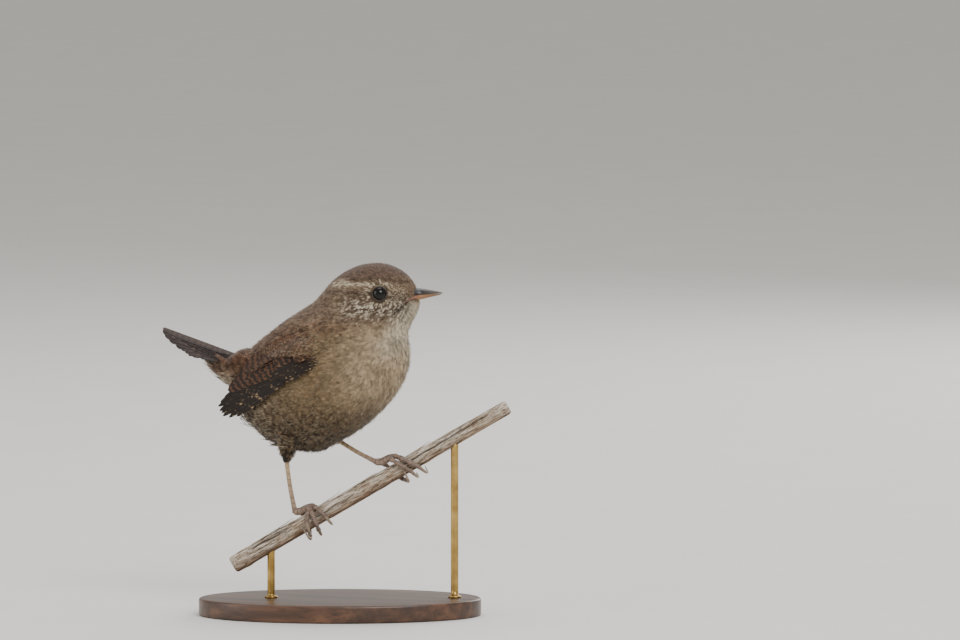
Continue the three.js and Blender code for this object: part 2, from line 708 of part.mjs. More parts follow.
const legs = {};
for (const side of ["right", "left"]) {
  const shank = tarsus(side, GAP);
  legs[side] = {
    thigh: thigh(side).subtract(bodyGrown).subtract(shank),
    tarsus: tarsus(side, 0).subtract(bodyGrown),
    foot: foot(side).subtract(shank),
  };
}

// Stand

function base() {
  const outline = new THREE.Shape();
  outline.absellipse(0, 0, BASE_LONG / 2 - BASE_BEVEL, BASE_WIDE / 2 - BASE_BEVEL, 0, 2 * Math.PI);
  const geometry = new THREE.ExtrudeGeometry(outline, {
    depth: BASE_THICK - 2 * BASE_BEVEL,
    bevelThickness: BASE_BEVEL,
    bevelSize: BASE_BEVEL,
    bevelSegments: 2,
    curveSegments: 24,
  });
  geometry.translate(0, 0, BASE_BEVEL);
  geometry.rotateZ(toRadians(PERCH_TURN));
  return solidOf(geometry);
}

function rod(along) {
  const top = roundPerch(along, 0, 0);
  const low = BASE_THICK + GAP;
  const geometry = new THREE.CylinderGeometry(ROD_RADIUS, ROD_RADIUS, top.z - low, 16);
  geometry.rotateX(Math.PI / 2);
  geometry.translate(top.x, top.y, (top.z + low) / 2);
  return solidOf(geometry).subtract(perchGrown);
}

// The whole, each piece with its own colour and finish

const wren = new THREE.Group();

function place(name, solid, color, roughness, metalness = 0) {
  const mesh = new THREE.Mesh(geometryOf(solid), new THREE.MeshStandardMaterial({ color, roughness, metalness }));
  mesh.name = name;
  wren.add(mesh);
}

place("stand_base", base(), "#3a2b20", 0.5);
place("stand_rod_back", rod(ROD_PLACES[0]), "#8c7a4e", 0.35, 1);
place("stand_rod_front", rod(ROD_PLACES[1]), "#8c7a4e", 0.35, 1);
place("perch", perch, "#b3a08a", 0.9);
place("head", head, "#6b5748", 0.85);
place("bill_upper", billUpper, "#4a3a30", 0.4);
place("bill_lower", billLower, "#b07a4a", 0.4);
place("neck", neck, "#7a6450", 0.85);
place("torso", torso, "#7d6a50", 0.85);
place("tail_coverts", coverts, "#8a6a4a", 0.85);
place("tail", tail, "#5a4038", 0.7);
for (const [word, side] of [["right", -1], ["left", 1]]) {
  place("eye_" + word, ball(side, EYE.radius, 16), "#0c0a09", 0.05);
  place("wing_" + word, wing(side), "#4d3324", 0.7);
  place("thigh_" + word, legs[word].thigh, "#4d3d2e", 0.85);
  place("tarsus_" + word, legs[word].tarsus, "#a88662", 0.5);
  place("foot_" + word, legs[word].foot, "#8a6a58", 0.5);
  for (const toe of TOES[word]) {
    const claw = limb(clawCurve(FOOT_PLACES[word], toe), clawRadius, 6, 6);
    place("claw_" + word + "_" + toe.name, claw.subtract(perchGrown), "#c2b3a0", 0.35);
  }
}

export default wren;
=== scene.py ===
import bpy
import numpy as np
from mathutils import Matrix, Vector
from mathutils.bvhtree import BVHTree
from mathutils.kdtree import KDTree


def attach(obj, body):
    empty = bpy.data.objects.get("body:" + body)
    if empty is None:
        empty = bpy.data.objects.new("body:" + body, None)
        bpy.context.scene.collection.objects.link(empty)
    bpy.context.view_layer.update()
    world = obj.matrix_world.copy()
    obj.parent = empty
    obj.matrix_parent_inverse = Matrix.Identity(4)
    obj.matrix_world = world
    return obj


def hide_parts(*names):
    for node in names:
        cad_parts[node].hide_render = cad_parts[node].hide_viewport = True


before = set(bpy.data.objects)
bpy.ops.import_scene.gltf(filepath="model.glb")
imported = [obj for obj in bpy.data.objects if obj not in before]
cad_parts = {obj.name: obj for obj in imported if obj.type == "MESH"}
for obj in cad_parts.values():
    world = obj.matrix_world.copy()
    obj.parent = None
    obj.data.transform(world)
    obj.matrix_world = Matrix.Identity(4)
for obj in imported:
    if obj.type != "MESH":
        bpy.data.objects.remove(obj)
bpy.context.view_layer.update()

MM = 0.001
rng = np.random.default_rng(7)

# Body, one level for each landmark down from the crown: height, rear, front, half its width, where it is
# widest, and how much it narrows to the front and to the rear
CROWN, CAP, FOREHEAD, BROW = (
    [120.4, 12.6, 12.6, 0, 12.6, 0, 0],
    [119.5, 6.9, 18.6, 5.4, 12.6, 0, 0],
    [117, 1.6, 23.2, 8.1, 12.2, 0.1, 0],
    [113.8, -2.6, 26.0, 9.4, 11.4, 0.3, 0],
)
EYE_LEVEL, CHEEK, CHIN, THROAT = (
    [110.4, -5.5, 27.6, 9.8, 10.6, 0.48, 0],
    [107, -8.6, 28.1, 10.2, 9.5, 0.5, 0],
    [103.6, -13.8, 27.4, 10.9, 7, 0.4, 0],
    [99.6, -20.2, 26.0, 13.2, 2, 0.25, 0.1],
)
SHOULDER, BREAST, RUMP, KEEL, FLANK = (
    [95.6, -25.3, 24.8, 15.8, -2, 0.15, 0.2],
    [91.8, -30.4, 25.2, 17.8, -4, 0.1, 0.35],
    [87, -33.8, 25.0, 19.3, -5, 0.05, 0.4],
    [82.5, -35.2, 23.7, 20.0, -5.5, 0, 0.4],
    [77, -35.6, 20.8, 19.8, -6.5, 0, 0.3],
)
BELLY, LOW_BELLY, VENT, THIGH, UNDER_THIGH, UNDERSIDE = (
    [72, -35.4, 16.8, 18.4, -8, 0, 0.2],
    [67, -34.4, 11.8, 15.9, -9.5, 0, 0.1],
    [63, -30.6, 6.8, 12.9, -11, 0, 0],
    [59.6, -26.6, 1.1, 9.2, -12, 0, 0],
    [57.3, -21.8, -4.6, 5.4, -12.6, 0, 0],
    [56.1, -12.8, -12.8, 0, -12.8, 0, 0],
)
LEVELS = np.array([
    CROWN, CAP, FOREHEAD, BROW, EYE_LEVEL, CHEEK, CHIN, THROAT, SHOULDER, BREAST,
    RUMP, KEEL, FLANK, BELLY, LOW_BELLY, VENT, THIGH, UNDER_THIGH, UNDERSIDE,
])

# Head
HEAD_TURN = 10
TURN_AXIS_X = 4
TURN_FROM = 92
TURN_TO = 107
EYE = np.array([15.3, 7.5, 110.6])
EYE_RADIUS = 2.6
LID_RADIUS = 2.35
BILL_ROOT = np.array([23, 0, 109.3])
BILL_TIP = np.array([35.7, 0, 110.3])
BILL_HALF = 2.1
BILL_UPPER = 2.65
BILL_LOWER = 2.45
BILL_DROOP = 0.15
BILL_PARTING = 0.08

# Wing and tail
WRIST = np.array([1.5, 0, 91.2])
WING_SLOPE = 29.5
WING_TIP = {"x": -40, "y": 8.6, "slant": 0.36}
WING_EASE = 1.5
# How far the upper edge of the folded wing leans in to the back
WING_FOLD = 2.4
CAD_GAP = 0.3
TAIL_ROOT = np.array([-34.5, 0, 86.9])
TAIL_RISE = 17.6
TAIL_LONG = 31
TAIL_STEP = 0.46
TAIL_SPREAD = 0.82
TAIL_DROP = 0.24
# From the top of the folded tail to its lowest vane
TAIL_STACK = TAIL_DROP * 5.4
TAIL_TENT = 0.64
TAIL_VANE_WIDE = 4.4
# Coverts round the tail's root: distance along, and how far they reach up, down and to each side
COVERTS = ((-7, 3, 9, 7.5), (0, 2.4, 10.6, 7.2), (3, 1.6, 10.4, 6.4), (6.5, 0.9, 8.8, 5.6),
           (10.8, 0.6, 6.4, 4.4), (14.2, 0.4, 4.4, 2.4))

# Perch, legs and stand
PERCH_TURN = 20
PERCH_RISE = 30
PERCH_HEIGHT = 38.1
PERCH_BACK = 42
PERCH_FRONT = 66
PERCH_RADIUS_BACK = 3.0
PERCH_RADIUS_FRONT = 2.5
HIP = np.array([-14, 8.6, 61])
SIDES = {"right": -1, "left": 1}
ANKLES = {"right": np.array([-16.3, -8, 53.4]), "left": np.array([-4.2, 9, 58.9])}
FOOT_PLACES = {"right": -12.2, "left": 20.2}
# How far each foot's sole arches off the perch
SOLE_LIFTS = {"right": 0.2, "left": 1.2}
TARSUS_RADIUS = 0.75
TOE_RADIUS = 0.75
PAD_RADIUS = 1.42
TOES = {
    "right": {
        "hallux": ((-0.6, -30), (-2.2, -190), 4.4),
        "inner": ((2.2, 24), (-0.4, 86), 3.0),
        "middle": ((3.0, 12), (1.6, 152), 3.4),
        "outer": ((3.9, 4), (6.1, 104), 3.2),
    },
    "left": {
        "hallux": ((-0.6, -30), (3.6, -196), 4.2),
        "inner": ((2.6, 24), (6.6, 122), 3.2),
        "middle": ((4.2, 8), (9.6, 122), 4.2),
        "outer": ((3.4, -14), (8.4, -100), 3.2),
    },
}
BASE_LONG = 96
BASE_WIDE = 54
BASE_THICK = 6
BASE_BEVEL = 0.8
ROD_RADIUS = 1.3
ROD_PLACES = {"back": -27, "front": 45}

# Camera: the photograph's angle, the span that its 960 pixels cover at the bird, and where its middle looks
CAMERA_AZIMUTH = 20
CAMERA_ELEVATION = 5
FRAME_SPAN = 326.4
FRAME_RIGHT = 47.6
FRAME_UP = 100.3
LENS = 400
SENSOR = 36


def smooth(value, low, high):
    share = np.clip((value - low) / (high - low), 0, 1)
    return share * share * (3 - 2 * share)


def mix(a, b, share):
    return a + (b - a) * share


def bump_at(value, centre, half):
    """A soft rise to 1 at a centre, which dies away about half to each side."""
    return np.exp(-(((value - centre) / half) ** 2))


def unit(vectors):
    return vectors / np.maximum(np.linalg.norm(vectors, axis=-1, keepdims=True), 1e-9)


def slope_way(degrees, rise):
    """The way along a slope to the rear in the bird's upright middle plane."""
    angle = np.radians(degrees)
    return np.array([-np.cos(angle), 0, rise * np.sin(angle)])


def side_word(side):
    return "left" if side > 0 else "right"


def linear(code):
    """An sRGB hex colour as linear light."""
    parts = np.array([int(code[i:i + 2], 16) for i in (1, 3, 5)]) / 255
    return np.where(parts <= 0.04045, parts / 12.92, ((parts + 0.055) / 1.055) ** 2.4)


# Shapes of the bird

def reflected(pole, beside):
    """The level past a pole, so that the line through the levels closes over it."""
    row = beside.copy()
    row[1:3] = 2 * pole[1:3] - beside[1:3]
    row[3] = -beside[3]
    return row


LINE = np.vstack([reflected(LEVELS[0], LEVELS[1]), LEVELS, reflected(LEVELS[-1], LEVELS[-2])])
LAST = len(LEVELS) - 1


def level_at(place):
    """Levels between the landmarks, on a smooth line through them."""
    place = np.asarray(place, float)
    before = np.clip(np.floor(place).astype(int), 0, LAST - 1)
    t = (place - before)[..., None]
    a, b, c, d = (LINE[before + step] for step in range(4))
    return ((2 * t**3 - 3 * t**2 + 1) * b + (t**3 - 2 * t**2 + t) * (c - a) / 2
            + (3 * t**2 - 2 * t**3) * c + (t**3 - t**2) * (d - b) / 2)


def body_point(place, angle):
    """Points of the body at levels and angles from the front, before the head turns."""
    z, rear, front, half, widest, narrow_front, narrow_rear = np.moveaxis(level_at(place), -1, 0)
    along = np.cos(angle)
    reach = np.where(along > 0, front - widest, widest - rear)
    narrow = np.where(along > 0, narrow_front, narrow_rear)
    return np.stack([widest + reach * along, half * np.sin(angle) * (1 - narrow * along**2), z], -1)


def body_half_at(x, z):
    """Half the body's width at heights and distances forward, or 0 past its ends."""
    upper = np.zeros(np.shape(z))
    lower = np.full(np.shape(z), float(LAST))
    for _ in range(20):
        middle = (upper + lower) / 2
        above = level_at(middle)[..., 0] > z
        upper = np.where(above, middle, upper)
        lower = np.where(above, lower, middle)
    _, rear, front, half, widest, narrow_front, narrow_rear = np.moveaxis(level_at(upper), -1, 0)
    ahead = x > widest
    along = np.minimum(np.abs(x - widest) / np.where(ahead, front - widest, widest - rear), 1)
    return half * np.sqrt(1 - along**2) * (1 - np.where(ahead, narrow_front, narrow_rear) * along**2)


def turned(points, way=1):
    """The head's turn, as points of the bird at rest go through it, or come back from it with a way of -1."""
    points = np.asarray(points, float)
    angle = way * np.radians(HEAD_TURN) * smooth(points[..., 2], TURN_FROM, TURN_TO)
    x, y = points[..., 0] - TURN_AXIS_X, points[..., 1]
    return np.stack([TURN_AXIS_X + x * np.cos(angle) - y * np.sin(angle),
                     x * np.sin(angle) + y * np.cos(angle), points[..., 2]], -1)


wing_way = slope_way(WING_SLOPE, -1)
wing_up = np.array([wing_way[2], 0, -wing_way[0]])
tail_way = slope_way(TAIL_RISE, 1)
tail_up = np.array([tail_way[2], 0, -tail_way[0]])


def wing_point(side, along, across, lift):
    """Points on a wing, along from the wrist, across its slope and out from the surface that it lies on."""
    flat = WRIST + np.multiply.outer(along, wing_way) + np.multiply.outer(across, wing_up)
    x, z = flat[..., 0], flat[..., 2]
    body = body_half_at(x, z)
    free = WING_TIP["y"] + WING_TIP["slant"] * (x - WING_TIP["x"])
    clear = (body + free + np.hypot(body - free, WING_EASE)) / 2
    surface = mix(body, clear, np.clip((x - WRIST[0]) / -20, 0, 1))
    surface = surface - np.minimum(surface - body, WING_FOLD) * smooth(np.asarray(across), 5, 10.5)
    flat[..., 1] = side * (surface + CAD_GAP + lift)
    return flat


def tail_tent(across):
    """How far the folded tail slopes down to each side of its middle."""
    return -TAIL_TENT * (np.hypot(across, 1) - 1)


def tail_point(along, across, lift):
    points = TAIL_ROOT + np.multiply.outer(along, tail_way) + np.multiply.outer(lift, tail_up)
    points[..., 1] += across
    return points


perch_way = np.array([
    np.cos(np.radians(PERCH_RISE)) * np.cos(np.radians(PERCH_TURN)),
    np.cos(np.radians(PERCH_RISE)) * np.sin(np.radians(PERCH_TURN)),
    np.sin(np.radians(PERCH_RISE)),
])
perch_near = np.array([np.sin(np.radians(PERCH_TURN)), -np.cos(np.radians(PERCH_TURN)), 0])
perch_up = np.cross(perch_near, perch_way)


def perch_radius(along):
    return mix(PERCH_RADIUS_BACK, PERCH_RADIUS_FRONT, (along + PERCH_BACK) / (PERCH_BACK + PERCH_FRONT))


def round_perch(along, turn, out):
    """Points round the perch: along it, turned from its top to the bird's right, and out from its axis."""
    turn = np.radians(turn)
    return (np.array([0, 0, PERCH_HEIGHT]) + np.multiply.outer(along, perch_way)
            + np.multiply.outer(out * np.cos(turn), perch_up)
            + np.multiply.outer(out * np.sin(turn), perch_near))


# Meshes

def grid_faces(rows, columns, wrap):
    """Quads over a grid of points of rows and columns, whose columns may close into rings."""
    i, j = np.meshgrid(np.arange(rows - 1), np.arange(columns if wrap else columns - 1), indexing="ij")
    following = (j + 1) % columns
    return np.stack([i * columns + j, i * columns + following, (i + 1) * columns + following,
                     (i + 1) * columns + j], -1).reshape(-1, 4)


def rings_mesh(rings):
    """A closed skin over rings, with a point in the middle of each end."""
    rows, columns = rings.shape[:2]
    points = np.vstack([rings.reshape(-1, 3), rings[0].mean(0), rings[-1].mean(0)])
    j = np.arange(columns)
    following = (j + 1) % columns
    first, last = rows * columns, rows * columns + 1
    top = (rows - 1) * columns
    ends = np.vstack([np.stack([following, j, np.full(columns, first)], -1),
                      np.stack([top + j, top + following, np.full(columns, last)], -1)])
    return points, [grid_faces(rows, columns, True), ends]


def sheet_mesh(outer, inner):
    """A thin closed sheet between two grids of points of the same size."""
    rows, columns = outer.shape[:2]
    count = rows * columns
    face = grid_faces(rows, columns, False)
    index = np.arange(count).reshape(rows, columns)
    rim = np.concatenate([index[:, 0], index[-1, 1:], index[-2::-1, -1], index[0, -2:0:-1]])
    after = np.roll(rim, -1)
    walls = np.stack([rim, rim + count, after + count, after], -1)
    return np.vstack([outer.reshape(-1, 3), inner.reshape(-1, 3)]), [face, face[:, ::-1] + count, walls]


def limb_rings(centres, radii, sides, flatten=1.0, top=(0, 0, 1)):
    """Rings round a line of centres. radii may vary round each ring, and flatten squeezes it towards top."""
    centres = np.asarray(centres, float)
    ways = unit(np.gradient(centres, axis=0))
    normal = unit(np.array(top) - (ways @ np.array(top))[:, None] * ways)
    across = np.cross(ways, normal)
    angle = np.linspace(0, 2 * np.pi, sides, endpoint=False)
    radii = np.asarray(radii, float)
    if radii.ndim == 1:
        radii = radii[:, None] * np.ones(sides)
    return (centres[:, None] + (radii * np.cos(angle) * flatten)[..., None] * normal[:, None]
            + (radii * np.sin(angle))[..., None] * across[:, None])


def curve_through(points, count):
    """Evenly spaced points on a smooth line through a few."""
    points = np.asarray(points, float)
    padded = np.vstack([2 * points[0] - points[1], points, 2 * points[-1] - points[-2]])
    share = np.linspace(0, len(points) - 1, count * 6)
    before = np.clip(share.astype(int), 0, len(points) - 2)
    t = (share - before)[:, None]
    a, b, c, d = (padded[before + step] for step in range(4))
    fine = (b + t * (c - a) / 2 + t**2 * (a - 2.5 * b + 2 * c - d / 2)
            + t**3 * (1.5 * b - a / 2 - 1.5 * c + d / 2))
    run = np.concatenate([[0], np.cumsum(np.linalg.norm(np.diff(fine, axis=0), axis=1))])
    even = np.linspace(0, run[-1], count)
    return np.stack([np.interp(even, run, fine[:, k]) for k in range(3)], -1)


def together(meshes):
    """Several meshes of points and faces as one."""
    points, faces, start = [], [], 0
    for own_points, own_faces in meshes:
        points.append(own_points)
        faces += [own + start for own in own_faces]
        start += len(own_points)
    return np.vstack(points), faces


ATTRIBUTE_KINDS = {3: ("FLOAT_VECTOR", "vector"), 4: ("FLOAT_COLOR", "color"), 1: ("FLOAT", "value")}


def bare_mesh(name, points, faces, attributes=None):
    mesh = bpy.data.meshes.new(name)
    sizes = np.concatenate([np.full(len(face), face.shape[1]) for face in faces])
    corners = np.concatenate([face.ravel() for face in faces])
    mesh.vertices.add(len(points))
    mesh.vertices.foreach_set("co", (points * MM).astype(np.float32).ravel())
    mesh.loops.add(len(corners))
    mesh.loops.foreach_set("vertex_index", corners.astype(np.int32))
    mesh.polygons.add(len(sizes))
    mesh.polygons.foreach_set("loop_start", (np.cumsum(sizes) - sizes).astype(np.int32))
    mesh.update(calc_edges=True)
    mesh.polygons.foreach_set("use_smooth", np.ones(len(sizes), bool))
    for key, values in (attributes or {}).items():
        values = np.asarray(values, np.float32)
        kind, field = ATTRIBUTE_KINDS[1 if values.ndim == 1 else values.shape[1]]
        mesh.attributes.new(key, kind, "POINT").data.foreach_set(field, values.ravel())
    return mesh


def piece(name, mesh, finish, replaced=()):
    """A mesh as a piece of the model, which rides with it and stands for CAD nodes."""
    made = bpy.data.objects.new(name, mesh)
    bpy.context.scene.collection.objects.link(made)
    mesh.materials.clear()
    mesh.materials.append(finish)
    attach(made, "root")
    if replaced:
        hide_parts(*replaced)
    return made


# Materials

FULL_TURN = 6.2832
MIXED = {"data_type": "RGBA"}
MULTIPLIED = {"data_type": "RGBA", "blend_type": "MULTIPLY"}


def rgba(code):
    return (*linear(code), 1)


def feed(tree, node, links):
    """Feeds a node's inputs, each from another node's own output, a socket or a plain value."""
    for socket, source in links.items():
        if isinstance(source, bpy.types.Node):
            source = next(output for output in source.outputs if output.enabled)
        if isinstance(source, bpy.types.NodeSocket):
            tree.links.new(source, node.inputs[socket])
        else:
            node.inputs[socket].default_value = source


def add(tree, kind, links=None, stops=(), **settings):
    """Adds a node with its settings, its colour stops and what feeds its inputs."""
    made = tree.nodes.new("ShaderNode" + kind)
    for key, value in settings.items():
        setattr(made, key, value)
    for stop, (place, code) in enumerate(stops):
        element = made.color_ramp.elements[stop] if stop < 2 else made.color_ramp.elements.new(place)
        element.position = place
        element.color = rgba(code)
    feed(tree, made, links or {})
    return made


def finish(name, **surface):
    """A material with its plain shader values set on the shader's own sockets."""
    made = bpy.data.materials.new(name)
    made.use_nodes = True
    shader = made.node_tree.nodes["Principled BSDF"]
    for socket, value in surface.items():
        shader.inputs[socket.replace("_", " ")].default_value = value
    return made, made.node_tree, shader


def contour_feathers():
    """Contour feathers, matt, with a downy root: open barbs scatter light softly and have no shine."""
    made, tree, shader = finish("contour_feathers", Roughness=0.82, Specular_IOR_Level=0.22,
                                Sheen_Weight=0.18, Sheen_Roughness=0.5)
    tint = add(tree, "Attribute", attribute_name="tint")
    feather = add(tree, "Attribute", attribute_name="feather").outputs["Vector"]
    across, along, lot = add(tree, "SeparateXYZ", {0: feather}).outputs
    marks = add(tree, "Attribute", attribute_name="marks").outputs["Vector"]
    bars, tip, count = add(tree, "SeparateXYZ", {0: marks}).outputs
    # Bars cross each feather and bow towards its tip
    squared = add(tree, "Math", {0: across, 1: across}, operation="MULTIPLY")
    bowed = add(tree, "Math", {0: squared, 1: -0.12, 2: along}, operation="MULTIPLY_ADD")
    phase = add(tree, "Math", {0: bowed, 1: count, 2: lot}, operation="MULTIPLY_ADD")
    angle = add(tree, "Math", {0: phase, 1: FULL_TURN}, operation="MULTIPLY")
    wave = add(tree, "Math", {0: angle}, operation="SINE")
    band = add(tree, "MapRange", {0: wave, 1: -0.25, 2: 0.45})
    dark = add(tree, "Math", {0: band, 1: bars}, operation="MULTIPLY")
    barred = add(tree, "Mix", {0: dark, 6: tint, 7: rgba("#54412f")}, **MULTIPLIED)
    # A pale tip, and a slate-dark root that shows between feathers: the downy root's own grey, darkened
    # further as painted shade
    end = add(tree, "MapRange", {0: along, 1: 0.72, 2: 1.0})
    pale = add(tree, "Math", {0: end, 1: tip}, operation="MULTIPLY")
    tipped = add(tree, "Mix", {0: pale, 6: barred, 7: rgba("#c4b497")}, **MIXED)
    root = add(tree, "MapRange", {0: along, 1: 0.55, 2: 0.1, 4: 0.75})
    shaded_root = add(tree, "Mix", {0: root, 6: tipped, 7: rgba("#4b4038")}, **MULTIPLIED)
    # Barbs lie in fine strands along the feather, drawn about 0.3 mm apart so that they show
    strand = add(tree, "VectorMath", {0: feather, 1: (5, 1.2, 90)}, operation="MULTIPLY")
    strands = add(tree, "TexNoise", {"Vector": strand, "Scale": 1.6, "Detail": 3})
    light = add(tree, "MapRange", {0: strands, 1: 0.3, 2: 0.7, 3: 0.72, 4: 1.3})
    colour = add(tree, "Mix", {0: 1, 6: shaded_root, 7: light}, **MULTIPLIED)
    bump = add(tree, "Bump", {"Height": strands, "Strength": 0.4, "Distance": 0.1 * MM})
    feed(tree, shader, {"Base Color": colour, "Normal": bump})
    return made


def down_on_skin():
    """Skin under close down, matt: it carries the coat's own colours, darkened as what lies in shade."""
    made, tree, shader = finish("down_on_skin", Roughness=0.9, Specular_IOR_Level=0.15)
    tint = add(tree, "Attribute", attribute_name="tint")
    place = add(tree, "TexCoord").outputs["Object"]
    down = add(tree, "TexNoise", {"Vector": place, "Scale": 1 / (0.6 * MM), "Detail": 4})
    shade = add(tree, "MapRange", {0: down, 3: 0.5, 4: 0.9})
    colour = add(tree, "Mix", {0: 1, 6: tint, 7: shade}, **MULTIPLIED)
    bump = add(tree, "Bump", {"Height": down, "Strength": 0.5, "Distance": 0.3 * MM})
    feed(tree, shader, {"Base Color": colour, "Normal": bump})
    return made


def flight_vanes(name, edge_code, edge_from, edge_share):
    """Flight feathers, firm vanes of hooked barbs: closed webs with a faint silky shine along the barbs."""
    made, tree, shader = finish(name, Roughness=0.55, Specular_IOR_Level=0.22,
                                Sheen_Weight=0.02, Sheen_Roughness=0.4)
    tint = add(tree, "Attribute", attribute_name="tint")
    feather = add(tree, "Attribute", attribute_name="feather").outputs["Vector"]
    across, along, lot = add(tree, "SeparateXYZ", {0: feather}).outputs
    marks = add(tree, "Attribute", attribute_name="marks").outputs["Vector"]
    bars, spots, count = add(tree, "SeparateXYZ", {0: marks}).outputs
    side = add(tree, "Math", {0: across}, operation="ABSOLUTE")
    # Dark bars run out from the shaft on a slant and waver a little
    waver = add(tree, "VectorMath", {0: feather, 1: (1.5, 6, 40)}, operation="MULTIPLY")
    wobble = add(tree, "TexNoise", {"Vector": waver, "Scale": 1.5, "Detail": 2})
    slanted = add(tree, "Math", {0: side, 1: 0.4, 2: lot}, operation="MULTIPLY_ADD")
    phase = add(tree, "Math", {0: along, 1: count, 2: slanted}, operation="MULTIPLY_ADD")
    wavy = add(tree, "Math", {0: wobble, 1: 1.5, 2: phase}, operation="MULTIPLY_ADD")
    angle = add(tree, "Math", {0: wavy, 1: FULL_TURN}, operation="MULTIPLY")
    wave = add(tree, "Math", {0: angle}, operation="SINE")
    band = add(tree, "MapRange", {0: wave, 1: -0.65, 2: 0.1})
    dark = add(tree, "Math", {0: band, 1: bars}, operation="MULTIPLY")
    barred = add(tree, "Mix", {0: dark, 6: tint, 7: rgba("#1a120d")}, **MIXED)
    # Buff spots on the outer web only, in some of the gaps between the bars
    web = add(tree, "MapRange", {0: across, 1: -0.35, 2: -0.75})
    gap = add(tree, "MapRange", {0: wave, 1: -0.3, 2: -0.8})
    far = add(tree, "Math", {0: along, 1: 9}, operation="MULTIPLY")
    own = add(tree, "Math", {0: lot, 1: 130}, operation="MULTIPLY")
    sparse = add(tree, "CombineXYZ", {0: far, 1: own})
    some = add(tree, "TexNoise", {"Vector": sparse, "Scale": 1.0, "Detail": 1})
    kept = add(tree, "MapRange", {0: some, 1: 0.5, 2: 0.56})
    spot = add(tree, "Math", {0: web, 1: gap}, operation="MULTIPLY")
    for share in (spots, kept):
        spot = add(tree, "Math", {0: spot, 1: share}, operation="MULTIPLY")
    spotted = add(tree, "Mix", {0: spot, 6: barred, 7: rgba("#a58a68")}, **MIXED)
    # Barbs slant out from the shaft, drawn about 0.3 mm apart so that they show
    run = add(tree, "Math", {0: along, 1: 60}, operation="MULTIPLY")
    barb = add(tree, "Math", {0: side, 1: -9, 2: run}, operation="MULTIPLY_ADD")
    out = add(tree, "Math", {0: across, 1: 1.5}, operation="MULTIPLY")
    each = add(tree, "Math", {0: lot, 1: 70}, operation="MULTIPLY")
    grain = add(tree, "CombineXYZ", {0: barb, 1: out, 2: each})
    barbs = add(tree, "TexNoise", {"Vector": grain, "Scale": 1.0, "Detail": 3})
    light = add(tree, "MapRange", {0: barbs, 1: 0.3, 2: 0.7, 3: 0.7, 4: 1.3})
    veined = add(tree, "Mix", {0: 1, 6: spotted, 7: light}, **MULTIPLIED)
    # The shaft is a dark line a little to the outer side of the middle, and towards the edges the colour
    # turns to the edge colour
    past = add(tree, "MapRange", {0: across, 1: -0.25, 2: -0.15})
    before = add(tree, "Math", {0: 1, 1: past}, operation="SUBTRACT")
    ridge = add(tree, "Math", {0: past, 1: before}, operation="MULTIPLY")
    shaft = add(tree, "Math", {0: ridge, 1: 2.4}, operation="MULTIPLY")
    shafted = add(tree, "Mix", {0: shaft, 6: veined, 7: rgba("#2a1a12")}, **MIXED)
    edge = add(tree, "MapRange", {0: side, 1: edge_from, 2: 1.0, 4: edge_share})
    colour = add(tree, "Mix", {0: edge, 6: shafted, 7: rgba(edge_code)}, **MIXED)
    bump = add(tree, "Bump", {"Height": barbs, "Strength": 0.5, "Distance": 0.1 * MM})
    feed(tree, shader, {"Base Color": colour, "Normal": bump})
    return made


def keratin(name, stops, roughness, groove):
    """Keratin over bone, as on a bill or claw: thin satin horn, a little cloudy and worn along it."""
    made, tree, shader = finish(name, Roughness=roughness, IOR=1.55, Subsurface_Weight=0.08,
                                Subsurface_Scale=0.4 * MM)
    run = add(tree, "Attribute", attribute_name="run").outputs["Fac"]
    horn = add(tree, "ValToRGB", {0: run}, stops=stops)
    place = add(tree, "TexCoord").outputs["Object"]
    cloud = add(tree, "TexNoise", {"Vector": place, "Scale": 1 / (1.2 * MM), "Detail": 4})
    shade = add(tree, "MapRange", {0: cloud, 3: 0.75, 4: 1.2})
    colour = add(tree, "Mix", {0: 1, 6: horn, 7: shade}, **MULTIPLIED)
    fine = add(tree, "TexNoise", {"Vector": place, "Scale": 1 / (groove * MM), "Detail": 3})
    rough = add(tree, "MapRange", {0: fine, 3: roughness - 0.08, 4: roughness + 0.15})
    bump = add(tree, "Bump", {"Height": fine, "Strength": 0.25, "Distance": 0.1 * MM})
    feed(tree, shader, {"Base Color": colour, "Roughness": rough, "Normal": bump})
    return made


def scaled_skin():
    """Bare leg skin in horny scutes: satin, pale horn to pinkish brown, darker in the seams."""
    made, tree, shader = finish("scaled_skin", Roughness=0.5, Subsurface_Weight=0.1,
                                Subsurface_Scale=0.5 * MM)
    run = add(tree, "Attribute", attribute_name="run").outputs["Fac"]
    seam = add(tree, "Attribute", attribute_name="seam").outputs["Fac"]
    horn = add(tree, "ValToRGB", {0: run}, stops=((0, "#6b5140"), (0.25, "#b29a77"), (0.7, "#957c68"),
                                                 (1, "#6f5e54")))
    place = add(tree, "TexCoord").outputs["Object"]
    cloud = add(tree, "TexNoise", {"Vector": place, "Scale": 1 / (0.9 * MM), "Detail": 5})
    shade = add(tree, "MapRange", {0: cloud, 1: 0.3, 2: 0.7, 3: 0.65, 4: 1.25})
    lit = add(tree, "Mix", {0: 1, 6: horn, 7: shade}, **MULTIPLIED)
    dark = add(tree, "Math", {0: seam, 1: 0.7}, operation="MULTIPLY")
    colour = add(tree, "Mix", {0: dark, 6: lit, 7: rgba("#4a3228")}, **MIXED)
    cells = add(tree, "TexVoronoi", {"Vector": place, "Scale": 1 / (0.45 * MM)})
    bump = add(tree, "Bump", {"Height": cells, "Strength": 0.35, "Distance": 0.1 * MM})
    feed(tree, shader, {"Base Color": colour, "Normal": bump})
    return made


